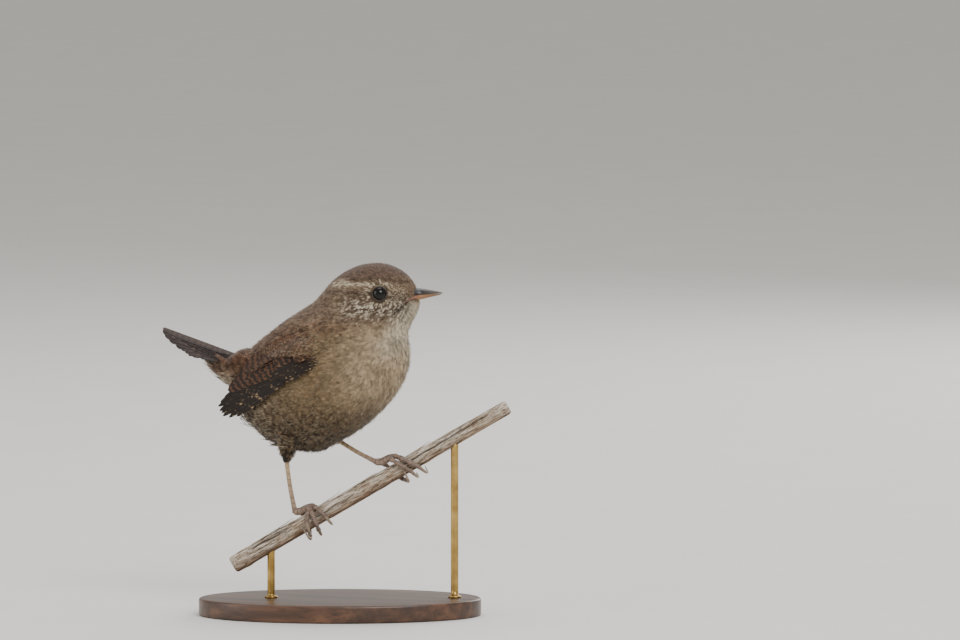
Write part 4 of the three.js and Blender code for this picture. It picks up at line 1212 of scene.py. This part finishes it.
# Each tract from its uppermost feather to its lowest: roots and tips along and across the wing, count, width,
# lifts of the tips, colour, strength of its bars and of its spots, bars' spacing and how pointed the tips are
WING_TRACTS = {
    "primaries": {
        "roots": ((14, 1), (14, -1.6)),
        "tips": ((43, 4.6), (45.4, 3.5), (47, 2.2), (46.6, 0.9), (47, -0.5), (44.6, -1.8), (41.5, -3)),
        "count": 8, "width": 3.1, "lifts": (0.5, 0.1), "tint": "#17100c", "bars": 0.85, "spots": 0.75,
        "spacing": 2.6, "point": 2.0,
    },
    "secondaries": {
        "roots": ((9, 7.4), (9, 1.4)),
        "tips": ((33, 8.9), (35.2, 8.3), (37.2, 7.6), (39, 6.8), (40.6, 5.9)),
        "count": 6, "width": 4.6, "lifts": (1.0, 0.65), "tint": "#4f3324", "bars": 0.97, "spots": 0.1,
        "spacing": 2.5, "point": 1.0,
    },
    "tertials": {
        "roots": ((9, 8.6), (9, 7.4)),
        "tips": ((23.5, 9.6), (27.5, 9.6), (31, 9.2)),
        "count": 3, "width": 5.2, "lifts": (1.5, 1.25), "tint": "#53392a", "bars": 0.75, "spots": 0.05,
        "spacing": 2.5, "point": 1.0,
    },
    "greater_coverts": {
        "roots": ((8, 7.0), (5.5, 1.6)),
        "tips": ((15.4, 8.8), (16.8, 7.6), (17.8, 6.2), (18.6, 4.7), (18.8, 3.2)),
        "count": 8, "width": 3.6, "lifts": (1.5, 1.15), "tint": "#523524", "bars": 0.95, "spots": 0.15,
        "spacing": 2.4, "point": 0.9,
    },
    "primary_coverts": {
        "roots": ((4, 1.4), (2.6, -1.6)),
        "tips": ((19.4, 2.4), (20, 0.8), (18.4, -1), (15, -2.8)),
        "count": 7, "width": 2.6, "lifts": (1.35, 0.9), "tint": "#1f150f", "bars": 0.6, "spots": 0.8,
        "spacing": 3.4, "point": 1.4,
    },
    "median_coverts": {
        "roots": ((5.8, 5.8), (0.5, 2.2)),
        "tips": ((8.6, 7.4), (9.6, 6.2), (10, 4.9), (10, 3.6), (9.2, 2.4)),
        "count": 8, "width": 3.2, "lifts": (1.8, 1.5), "tint": "#543623", "bars": 0.8, "spots": 0.3,
        "spacing": 1.9, "point": 0.8,
    },
}
TAIL_TINT = "#44352f"


def vane_half(share, point):
    """How wide a vane is along its length: narrow at the quill, rounded or more pointed at the tip."""
    quill = mix(0.4, 1, smooth(share, 0, 0.3))
    end = np.clip((share - 0.72) / 0.28, 0, 1)
    return quill * np.sqrt(np.maximum(1 - end ** (2.2 / point), 0.004))


def vane(place_at, long, width, point, tint, bars, spots, spacing):
    """One vane. place_at gives its points from the share along, the distance across and the lift."""
    even = np.linspace(0, 1, VANE_ROWS)
    closer_at_tip = np.sin(even * np.pi / 2) * 0.6 + even * 0.4
    share, across = np.meshgrid(closer_at_tip, np.linspace(-1, 1, VANE_COLUMNS + 1), indexing="ij")
    half = width / 2 * vane_half(share, point)
    notch = rng.random(share.shape) < 0.12
    frayed = np.where(np.abs(across) > 0.99, np.where(notch, rng.uniform(0.8, 0.92, share.shape), 1), 1)
    off = across * half * frayed
    crown = SHAFT_RAISE * np.exp(-((across + 0.15) / 0.2) ** 2) - 0.1 * half * across**2
    outer = place_at(share, off, crown + VANE_THICK)
    inner = place_at(share, off, crown)
    points, faces = sheet_mesh(outer, inner)
    lot = rng.random()
    local = np.stack([across, share, np.full(share.shape, lot)], -1).reshape(-1, 3)
    colour = np.append(linear(tint) * rng.uniform(0.88, 1.12), 1)
    tints = np.tile(colour, (len(points), 1))
    marks = np.tile([bars, spots, long / spacing], (len(points), 1))
    return points, faces, np.vstack([local, local]), tints, marks


def vanes_piece(name, vanes, cloth, replaced):
    points, faces = together([(v[0], v[1]) for v in vanes])
    mesh = bare_mesh(name, points, faces, {
        "feather": np.vstack([v[2] for v in vanes]),
        "tint": np.vstack([v[3] for v in vanes]),
        "marks": np.vstack([v[4] for v in vanes]),
    })
    return piece(name, mesh, cloth, replaced)


VANE_ROOT_LIFT = 0.15
VANE_SLOPES_TO = 0.6
VANE_ROLL = 0.12


def wing_vanes(side, tract):
    tips = np.array(tract["tips"], float)
    share_of = np.linspace(0, len(tips) - 1, tract["count"])
    made = []
    for number, share in enumerate(share_of):
        tip = np.array([np.interp(share, np.arange(len(tips)), tips[:, k]) for k in (0, 1)])
        tip = tip + rng.normal(0, 0.25, 2)
        part = number / (tract["count"] - 1)
        root = mix(np.array(tract["roots"][0]), np.array(tract["roots"][1]), part)
        run = tip - root
        long = np.hypot(*run)
        lift = mix(*tract["lifts"], part)

        def place_at(along, off, up):
            rise = mix(VANE_ROOT_LIFT, lift, np.minimum(1, along / VANE_SLOPES_TO))
            bow = 0.02 * long * np.sin(np.pi * along)
            return wing_point(side, root[0] + run[0] * along - run[1] / long * off,
                              root[1] + run[1] * along + run[0] / long * off + bow,
                              rise - VANE_ROLL * off + up + 0.25)

        # Only the lower feathers of a tract show their outer webs, so the pale spots gather there
        spots = tract["spots"] * (0.25 + 0.75 * (part > 0.45))
        made.append(vane(place_at, long, tract["width"], tract["point"], tract["tint"], tract["bars"], spots,
                         tract["spacing"]))
    return made


def wing_bed(side):
    """The wing's own flesh and down under its feathers."""
    share, over = np.meshgrid(np.linspace(0, 1, 18), np.linspace(0, 1, 8), indexing="ij")
    low, high = mix(-1.4, 0.6, share), mix(8, 7.6, share)
    thick = mix(0.3, 1, smooth(share, 0, 0.2)) * mix(1.2, 0.8, share)
    along = mix(0.2, 27, share)
    points, faces = sheet_mesh(wing_point(side, along, mix(low, high, over), thick * 0.8),
                               wing_point(side, along, mix(low, high, over), np.zeros(share.shape)))
    count = len(points)
    return (points, faces, np.zeros((count, 3)), np.tile(np.append(linear("#33261c"), 1), (count, 1)),
            np.zeros((count, 3)))


def tail_vane(side, rank):
    long = TAIL_LONG - TAIL_STEP * rank * rank

    def place_at(along, off, up):
        middle = mix(0.25 + 0.25 * rank, 0.8 + TAIL_SPREAD * rank, along)
        across = side * middle + off
        drop = tail_tent(across) - TAIL_DROP * (rank + (0.4 if side > 0 else 0))
        return tail_point(long * along, across, drop + up)

    return vane(place_at, long, TAIL_VANE_WIDE, 0.8, TAIL_TINT, 0.4, 0.1, 2.2)


webs = flight_vanes("wing_vanes", "#7a604a", 0.9, 0.3)
tail_webs = flight_vanes("tail_vanes", "#140e0e", 0.55, 0.85)
for side_name, side in SIDES.items():
    vanes = [wing_bed(side)]
    for tract in WING_TRACTS.values():
        vanes += wing_vanes(side, tract)
    vanes_piece("wing_feathers_" + side_name, vanes, webs, ("wing_" + side_name,))
tail_vanes = [tail_vane(side, rank) for side in (-1, 1) for rank in range(5, -1, -1)]
vanes_piece("tail_feathers", tail_vanes, tail_webs, ("tail",))


# Scapulars and lesser coverts: soft feathers that lie over the wing's front and upper edge

SHOULDER_FEATHERS = 900


def shoulder_front(across):
    """Where the shoulder's feathers begin along the wing, at distances across it."""
    return np.maximum(-7.5, (across - 7.2) * 1.8)


def shoulder_feathers(side, cloth):
    count = SHOULDER_FEATHERS
    across = rng.uniform(0, 12, count)
    rear = np.interp(across, (0, 2.5, 5, 8, 12), (1, 3, 8, 15, 19))
    along = mix(shoulder_front(across), rear, rng.random(count))
    lots = rng.random(count)
    length = rng.uniform(2.8, 4.2, count)
    width = length * 0.36
    rows, normals = [], []
    for share in ROW_SHARES:
        a = along + length * share
        c = across - 0.12 * length * share * (across - 3) / 6
        lift = mix(-1.2, 1.8, smooth(a - shoulder_front(c), 0, 7)) + 0.7 * share**0.8
        lift = lift - 0.8 * smooth(c, 9, 13) - 1.7 * (1 - smooth(c, 0, 3))
        lift = lift + rng.uniform(-0.1, 0.1, count)
        point = wing_point(side, a, c, lift)
        ahead = wing_point(side, a + 0.4, c, lift) - point
        above = wing_point(side, a, c + 0.4, lift) - point
        rows.append(point)
        normals.append(unit(np.cross(ahead, above) * -side))
    rows, normals = np.stack(rows, 1), np.stack(normals, 1)
    normals = normals * np.sign(normals[..., 1:2] * side)
    tufts = tuft_lots(rows[:, 0], unit(rows[:, 1] - rows[:, 0]), 0.5, 1.3)
    rufous = linear("#593d2b") * (1 + 0.5 * (2 * tufts - 1))[:, None]
    tint = mix(plumage(rows[:, 0], lots, tufts)[0], rufous, 0.85 * smooth(along, -3, 5)[:, None])
    pale = (rng.random(count) < 0.26) * 0.9
    marks = np.stack([np.full(count, 0.55), np.maximum(pale, 0.12), length / BAR_PERIOD], -1)
    unwrap = unwrapped(rows[:, 0])
    name = "coat_shoulder_" + side_word(side)
    mesh = feathers(name, rows, normals, width, np.full(count, 0.8), lots, tint, marks, unwrap)
    piece(name, mesh, cloth)


for side in SIDES.values():
    shoulder_feathers(side, contour)


# Eyes and lids

EYE_RINGS = 40
EYE_SIDES = 56
LID_RINGS = 72
LID_SIDES = 12


def eye_axis(side):
    angle = np.radians(HEAD_TURN)
    x, y, z = 0.2, side, 0.06
    return unit(np.array([x * np.cos(angle) - y * np.sin(angle), x * np.sin(angle) + y * np.cos(angle), z]))


def around_axis(axis, centre, radii, heights, sides):
    """Rings about an axis through a centre, at heights along it."""
    first = unit(np.cross(axis, (0, 0, 1)))
    second = np.cross(axis, first)
    angle = np.linspace(0, 2 * np.pi, sides, endpoint=False)
    ring = np.cos(angle)[:, None] * first + np.sin(angle)[:, None] * second
    return centre + np.asarray(radii)[:, None, None] * ring + np.asarray(heights)[:, None, None] * axis


def eye(side, glass):
    polar = np.linspace(np.pi * 0.97, np.pi * 0.015, EYE_RINGS)
    radii, heights = EYE_RADIUS * np.sin(polar), EYE_RADIUS * np.cos(polar)
    rings = around_axis(eye_axis(side), turned(EYE * (1, side, 1)), radii, heights, EYE_SIDES)
    points, faces = rings_mesh(rings)
    run = np.append(np.repeat(np.clip(polar / (np.pi / 2), 0, 1), EYE_SIDES), (1, 0))
    name = "eyeball_" + side_word(side)
    piece(name, bare_mesh(name, points, faces, {"run": run}), glass, ("eye_" + side_word(side),))


def lid(side, flesh):
    """A ring of creased lid round the eye's opening, drawn a little longer to front and rear."""
    around = np.linspace(0, 2 * np.pi, LID_RINGS, endpoint=False)
    axis = eye_axis(side)
    first = unit(np.cross(axis, (0, 0, 1)))
    second = np.cross(axis, first)
    opening = LID_RADIUS * (1 + 0.06 * np.abs(np.cos(around)) ** 6)
    height = np.sqrt(EYE_RADIUS**2 - LID_RADIUS**2 * 0.86)
    line = (turned(EYE * (1, side, 1)) + (opening * np.cos(around))[:, None] * first
            + (opening * np.sin(around))[:, None] * second + height * axis)
    section = np.linspace(0, 2 * np.pi, LID_SIDES, endpoint=False)
    thick = 0.19 + 0.025 * np.sin(around * 17) + 0.02 * np.sin(around * 31)
    outward = unit(line - line.mean(0))
    rings = (line[:, None] + (thick[:, None] * np.cos(section))[..., None] * outward[:, None]
             + (thick[:, None] * 0.8 * np.sin(section))[..., None] * axis)
    name = "lid_" + side_word(side)
    faces = grid_faces(LID_RINGS + 1, LID_SIDES, True) % (LID_RINGS * LID_SIDES)
    piece(name, bare_mesh(name, rings.reshape(-1, 3), [faces]), flesh)


glass = wet_eye()
flesh = eyelid()
for side in SIDES.values():
    eye(side, glass)
    lid(side, flesh)


# Bill

BILL_RINGS = 40
BILL_SIDES = 36
CORNER_RINGS = 16
CORNER_SIDES = 12


def bill_half(way, name, horn):
    """The upper half of the bill, way 1, or the lower, way -1."""
    share = np.linspace(0, 1, BILL_RINGS)
    taper = (1 - 0.95 * share) ** 0.78
    depth = (BILL_UPPER if way > 0 else BILL_LOWER) * taper
    half = BILL_HALF * taper * (1 if way > 0 else 0.9)
    tip = BILL_TIP[0] - (0 if way > 0 else 0.5)
    x = mix(BILL_ROOT[0], tip, share)
    droop = BILL_DROOP * np.sin(np.pi * share)
    mouth = mix(BILL_ROOT[2], BILL_TIP[2], share) + droop + way * BILL_PARTING
    angle = np.linspace(0, np.pi, BILL_SIDES // 2 + 1)
    flat = np.linspace(-1, 1, BILL_SIDES // 2 + 1)[1:-1]
    ridge = 1 + (0.08 * np.exp(-((angle - np.pi / 2) / 0.25) ** 2) if way > 0 else 0 * angle)
    over = np.stack([half[:, None] * np.cos(angle), way * depth[:, None] * np.sin(angle) ** 0.85 * ridge], -1)
    under = np.stack([half[:, None] * flat, way * 0.06 * (1 - flat**2) * np.ones((BILL_RINGS, 1))], -1)
    section = np.concatenate([over, under], 1)
    if way > 0:
        pit = np.exp(-((x[:, None] - 28.6) / 0.75) ** 2 - ((section[..., 1] - 0.75) / 0.3) ** 2)
        section[..., 0] *= 1 - 0.3 * pit
    points = np.stack([np.broadcast_to(x[:, None], section.shape[:2]), section[..., 0],
                       mouth[:, None] + section[..., 1]], -1)
    rings, faces = rings_mesh(turned(points))
    run = np.append(np.repeat(share, section.shape[1]), (0, 1))
    piece("mandible_" + name, bare_mesh("mandible_" + name, rings, faces, {"run": run}), horn,
          ("bill_" + name,))


bill_half(1, "upper", keratin("upper_bill_keratin", ((0, "#5a4436"), (0.2, "#25252a"), (0.55, "#2f2926"),
                                                    (1, "#4c3c32")), 0.32, 0.25))
bill_half(-1, "lower", keratin("lower_bill_keratin", ((0, "#8c5640"), (0.35, "#9a6c44"), (1, "#75573e")),
                               0.36, 0.25))


def rictus(side, soft):
    """The soft corner of the mouth, which runs back and down from the bill."""
    bends = [(27.2, side * 1.9, 109.2), (25.2, side * 3.9, 108.5), (23.4, side * 5.6, 107.2)]
    line = turned(curve_through(bends, CORNER_RINGS))
    share = np.linspace(0, 1, CORNER_RINGS)
    points, faces = rings_mesh(limb_rings(line, mix(0.42, 0.16, share), CORNER_SIDES))
    run = np.append(np.repeat(share, CORNER_SIDES), (0, 1))
    name = "mouth_corner_" + side_word(side)
    piece(name, bare_mesh(name, points, faces, {"run": run}), soft)


soft_corner = keratin("mouth_corner_skin", ((0, "#8a5640"), (1, "#5a4234")), 0.5, 0.3)
for side in SIDES.values():
    rictus(side, soft_corner)


# Legs and feet

SHANK_RINGS = 90
SHANK_SIDES = 20
PAD_RINGS = 24
TOE_RINGS = 64
TOE_SIDES = 18
NAIL_RINGS = 30
NAIL_SIDES = 14


def toe_line(place, toe, count, arch):
    (along_from, turn_from), (along_to, turn_to), _ = toe
    share = np.linspace(0, 1, count)
    along = place + mix(along_from, along_to, share)
    out = perch_radius(along) + TOE_RADIUS + 0.15 + arch * (1 - share) ** 1.5 + 0.8 * share**2
    return round_perch(along, mix(turn_from, turn_to, share), out)


def claw_line(place, toe, count):
    (along_from, turn_from), (along_to, turn_to), claw = toe
    way = np.sign(turn_to - turn_from)
    slant = (along_to - along_from) / (turn_to - turn_from)
    share = np.linspace(0, 1, count)
    turn = turn_to + way * (share * (claw * 18 + 8) - 4)
    along = place + along_to + (turn - turn_to) * slant * (1 - 0.6 * share)
    out = perch_radius(along) + TOE_RADIUS * 1.2 + 1.0 + 1.7 * np.sin(np.pi * share) ** 0.8 - 0.9 * share
    return round_perch(along, turn, out)


def scuted(line, radius_at, sides, scute, name_run):
    """A limb in overlapping scutes, with its run and its seams for the colours."""
    count = len(line)
    share = np.linspace(0, 1, count)
    run = np.concatenate([[0], np.cumsum(np.linalg.norm(np.diff(line, axis=0), axis=1))])
    phase = (run / scute) % 1
    step = 1 + 0.09 * (phase - 0.5)
    rings = limb_rings(line, radius_at(share) * step, sides)
    points, faces = rings_mesh(rings)
    seam = np.append(np.repeat(np.exp(-((phase - 0.02) / 0.12) ** 2), sides), (0, 0))
    runs = np.append(np.repeat(mix(*name_run, share), sides), name_run)
    return points, faces, runs, seam


def scaled_piece(name, parts, skin_finish, replaced):
    points, faces = together([(part[0], part[1]) for part in parts])
    mesh = bare_mesh(name, points, faces, {
        "run": np.concatenate([part[2] for part in parts]),
        "seam": np.concatenate([part[3] for part in parts]),
    })
    return piece(name, mesh, skin_finish, replaced)


def shank_radius(share):
    return TARSUS_RADIUS * (1 + 0.35 * (2 * share - 1) ** 4)


def pad_radius(share):
    return PAD_RADIUS * (0.82 + 0.22 * np.sin(np.pi * share) - 0.25 * share)


def knuckle_radius(share):
    return TOE_RADIUS * (1.1 - 0.14 * share) * (1 + 0.16 * np.cos(share * 6 * np.pi))


def nail(label, line, horn):
    """A claw, as a piece of its own."""
    share = np.linspace(0, 1, len(line))
    points, faces = rings_mesh(limb_rings(line, 0.62 * (1 - 0.94 * share) ** 0.7, NAIL_SIDES))
    run = np.append(np.repeat(share, NAIL_SIDES), (0, 1))
    name = "nail_" + label
    piece(name, bare_mesh(name, points, faces, {"run": run}), horn, ("claw_" + label,))


def leg(side, skin_finish, horn):
    ankle, place, arch = ANKLES[side], FOOT_PLACES[side], SOLE_LIFTS[side]
    pad_height = perch_radius(place) + 0.3 + PAD_RADIUS * 0.7 + arch
    heel = round_perch(place - 2.4, -6, pad_height + 0.9)
    way = unit(heel - ankle)
    bends = [ankle - way * 1.5, mix(ankle, heel, 0.5) + (-0.3, 0, -0.2), heel + way * 0.4]
    shank = scuted(curve_through(bends, SHANK_RINGS), shank_radius, SHANK_SIDES, 2.1, (0.15, 0.8))
    scaled_piece("shank_" + side, [shank], skin_finish, ("tarsus_" + side,))
    pad_line = curve_through([
        round_perch(place - 2.6, -6, pad_height + 1.0),
        round_perch(place - 0.6, -4, pad_height),
        round_perch(place + 2, 4, pad_height),
        round_perch(place + 4, 4, pad_height - 0.2),
    ], PAD_RINGS)
    parts = [scuted(pad_line, pad_radius, SHANK_SIDES, 1.1, (0.8, 1.0))]
    for name, toe in TOES[side].items():
        line = toe_line(place, toe, TOE_RINGS, arch)
        parts.append(scuted(line, knuckle_radius, TOE_SIDES, 0.75, (0.85, 1.0)))
        nail(side + "_" + name, claw_line(place, toe, NAIL_RINGS), horn)
    scaled_piece("toes_" + side, parts, skin_finish, ("foot_" + side,))


leg_finish = scaled_skin()
claw_horn = keratin("claw_keratin", ((0, "#6b5848"), (0.5, "#94826f"), (1, "#4d4139")), 0.35, 0.3)
for side in SIDES:
    leg(side, leg_finish, claw_horn)


# Perch: a weathered stem with splits along it and peeled splinters

STEM_RINGS = 420
STEM_SIDES = 96
# Splits: from and to along the stem, turn from its top to the bird's right, how far each wanders,
# width and depth
SPLITS = (
    (-36, -17, 42, 14, 15, 1.1),
    (-31, -16, 14, 8, 5, 0.6),
    (-24, -17, 66, 6, 5, 0.5),
    (-2, 27, 34, 12, 5, 0.5),
    (22, 62, 62, -18, 7, 0.6),
    (-38, 10, -120, 20, 7, 0.6),
    (-5, 50, 150, -20, 6, 0.6),
    (34, 60, -40, 12, 5, 0.5),
    (-12, 8, 84, -10, 5, 0.4),
    (40, 58, 24, 8, 4, 0.4),
)
# Splinters: from and to along the stem, turn, and how far the end stands off
SPLINTERS = (
    (-33, -16, 8, 0.9), (-20, -3, 30, 0.7), (-9, 2, -12, 0.8), (6, 16, 14, 0.5), (24, 37, -20, 0.6),
    (40, 52, 25, 0.5), (-36, -24, 70, 0.6), (10, 25, -100, 0.6), (-28, -12, -150, 0.5),
)


def stem_mesh():
    along, turn = np.meshgrid(np.linspace(-PERCH_BACK, PERCH_FRONT, STEM_RINGS),
                              np.linspace(0, 360, STEM_SIDES, endpoint=False), indexing="ij")
    angle = np.radians(turn)
    groove = np.zeros(along.shape)
    depth = np.zeros(along.shape)
    for start, end, centre, wander, width, deep in SPLITS:
        share = np.clip((along - start) / (end - start), 0, 1)
        middle = centre + wander * (share - 0.5) + 3 * np.sin(along * 0.9)
        away = (turn - middle + 180) % 360 - 180
        cut = np.exp(-((away / width) ** 2)) * smooth(along, start, start + 4)
        cut = cut * (1 - smooth(along, end - 5, end))
        lip = 0.12 * np.exp(-(((np.abs(away) - 2 * width) / width) ** 2)) * (cut > 0.001)
        groove = np.maximum(groove, cut)
        depth = depth + deep * cut - lip
    ridges = (0.09 * np.sin(angle * 9 + 0.02 * along) + 0.05 * np.sin(angle * 17 + 0.05 * along + 1)
              + 0.03 * np.sin(angle * 31 - 0.04 * along))
    knots = 0.22 * bump_at(along, -37, 1.6) + 0.18 * bump_at(along, 33, 1.4)
    radius = perch_radius(along) - 0.12 + ridges * 0.8 - depth + knots
    ends = np.minimum(smooth(along, -PERCH_BACK, -PERCH_BACK + 0.8),
                      1 - smooth(along, PERCH_FRONT - 0.8, PERCH_FRONT))
    radius = radius * mix(0.86, 1, ends)
    points, faces = rings_mesh(round_perch(along, turn, radius))
    grain = np.stack([along, radius * np.cos(angle), radius * np.sin(angle)], -1).reshape(-1, 3)
    grain = np.vstack([grain, grain[0], grain[-1]])
    # Painted shade in the splits: up to 0.85 of near black along their grooves. The middles of the stem's two
    # ends are darkened by half.
    dark = np.append(np.clip(groove, 0, 1).reshape(-1) * 0.85, (0.5, 0.5))
    return points, faces, grain, dark


def splinter_mesh(start, end, turn, lift):
    """A strip of outer skin that has peeled and stands a little off the stem."""
    share, over = np.meshgrid(np.linspace(0, 1, 16), np.linspace(-1, 1, 5), indexing="ij")
    along = mix(start, end, share)
    width = 9 * np.sin(np.pi * np.clip(share + 0.08, 0, 1)) ** 0.6
    raised = lift * (share**3 + 0.15 * np.sin(np.pi * share))
    base = perch_radius(along) - 0.1 + raised
    spot = turn + over * width + 8 * (share - 0.5)
    points, faces = sheet_mesh(round_perch(along, spot, base + 0.16), round_perch(along, spot, base))
    angle = np.radians(spot)
    grain = np.stack([along, base * np.cos(angle), base * np.sin(angle)], -1).reshape(-1, 3)
    return points, faces, np.vstack([grain, grain]), np.full(len(points), 0.05)


def perch_piece():
    parts = [stem_mesh()] + [splinter_mesh(*splinter) for splinter in SPLINTERS]
    points, faces = together([(part[0], part[1]) for part in parts])
    mesh = bare_mesh("stem", points, faces, {
        "feather": np.vstack([part[2] for part in parts]),
        "run": np.concatenate([part[3] for part in parts]),
    })
    piece("stem", mesh, dry_stem(), ("perch",))


perch_piece()


# Stand

BASE_SIDES = 160
ROD_RINGS = 30
ROD_SIDES = 48


def base_piece():
    """An oval base with rounded upper and lower edges, turned as the perch is."""
    angle = np.linspace(0, 2 * np.pi, BASE_SIDES, endpoint=False)
    curl = np.linspace(0, np.pi / 2, 7)
    inset = np.concatenate([BASE_BEVEL * (1 - np.sin(curl)), BASE_BEVEL * (1 - np.cos(curl))])
    height = np.concatenate([BASE_BEVEL * (1 - np.cos(curl)), BASE_THICK - BASE_BEVEL * (1 - np.sin(curl))])
    turn = np.radians(PERCH_TURN)
    profile = [(BASE_LONG / 4, BASE_WIDE / 4, 0)]
    profile += [(BASE_LONG / 2 - i, BASE_WIDE / 2 - i, h) for i, h in zip(inset, height)]
    profile += [(BASE_LONG / 4, BASE_WIDE / 4, BASE_THICK)]
    rings = []
    for long, wide, up in profile:
        x, y = long * np.cos(angle), wide * np.sin(angle)
        rings.append(np.stack([x * np.cos(turn) - y * np.sin(turn), x * np.sin(turn) + y * np.cos(turn),
                               np.full(BASE_SIDES, up)], -1))
    points, faces = rings_mesh(np.array(rings))
    piece("plinth", bare_mesh("plinth", points, faces), varnished_walnut(), ("stand_base",))


def rod_piece(name, along, brass):
    """A rod with a soft top edge, and a thin collar where it enters the base."""
    top = round_perch(along, 180, perch_radius(along) - 0.2)[2]
    foot = round_perch(along, 0, 0) * (1, 1, 0)
    collar = np.array([(0.02, 0.9), (0.5, 0.9), (0.7, 0.6)])
    heights = np.concatenate([BASE_THICK + collar[:, 0], np.linspace(BASE_THICK + 0.72, top - 0.1, ROD_RINGS),
                              [top + 0.25]])
    radii = ROD_RADIUS + np.concatenate([collar[:, 1], np.zeros(ROD_RINGS), [-0.15]])
    rings = around_axis(np.array([0.0, 0.0001, 1.0]), foot, radii, heights, ROD_SIDES)
    points, faces = rings_mesh(rings)
    piece("rod_" + name, bare_mesh("rod_" + name, points, faces), brass, ("stand_rod_" + name,))


base_piece()
brass = drawn_brass()
for name, along in ROD_PLACES.items():
    rod_piece(name, along, brass)


# Studio

FLOOR_HALF = 20e3
# Each lamp's place and size in metres, and its power in watts
LAMPS = {
    "key": ((0.75, -0.75, 0.85), 0.7, 11),
    "fill": ((-0.9, -0.8, 0.4), 0.9, 4.5),
    "top": ((-0.1, 0.3, 1.2), 0.9, 8),
    "rim": ((0.2, 1.1, 0.5), 0.7, 5),
}


def photo_camera():
    azimuth, elevation = np.radians(CAMERA_AZIMUTH), np.radians(CAMERA_ELEVATION)
    right = np.array([np.cos(azimuth), np.sin(azimuth), 0])
    back = np.array([np.sin(azimuth) * np.cos(elevation), -np.cos(azimuth) * np.cos(elevation),
                     np.sin(elevation)])
    up = np.cross(back, right)
    target = FRAME_RIGHT * right + FRAME_UP * up
    distance = FRAME_SPAN * LENS / SENSOR
    lens = bpy.data.cameras.new("camera")
    lens.lens = LENS
    lens.sensor_width = SENSOR
    lens.clip_start = 0.1
    lens.clip_end = 60
    camera = bpy.data.objects.new("camera", lens)
    bpy.context.scene.collection.objects.link(camera)
    camera.location = (target + distance * back) * MM
    camera.rotation_mode = "QUATERNION"
    camera.rotation_quaternion = Vector(-back).to_track_quat("-Z", "Y")
    bpy.context.scene.camera = camera


def paper_floor():
    corners = FLOOR_HALF * np.array([[-1, -1, 0], [1, -1, 0], [1, 1, 0], [-1, 1, 0]])
    floor = bpy.data.objects.new("floor", bare_mesh("floor", corners, [np.array([[0, 1, 2, 3]])]))
    bpy.context.scene.collection.objects.link(floor)
    floor.data.materials.append(studio_floor())


def lamps():
    aim = Vector((0, 0, 80 * MM))
    for name, (place, size, power) in LAMPS.items():
        light = bpy.data.lights.new(name, "AREA")
        light.shape = "DISK"
        light.size = size
        light.energy = power
        lamp = bpy.data.objects.new(name, light)
        bpy.context.scene.collection.objects.link(lamp)
        lamp.location = place
        lamp.rotation_mode = "QUATERNION"
        lamp.rotation_quaternion = (aim - Vector(place)).to_track_quat("-Z", "Y")


def soft_surround():
    world = bpy.data.worlds.new("studio")
    bpy.context.scene.world = world
    world.use_nodes = True
    sky = world.node_tree.nodes["Background"]
    sky.inputs["Color"].default_value = rgba("#eceae6")
    sky.inputs["Strength"].default_value = 0.75


photo_camera()
paper_floor()
lamps()
soft_surround()
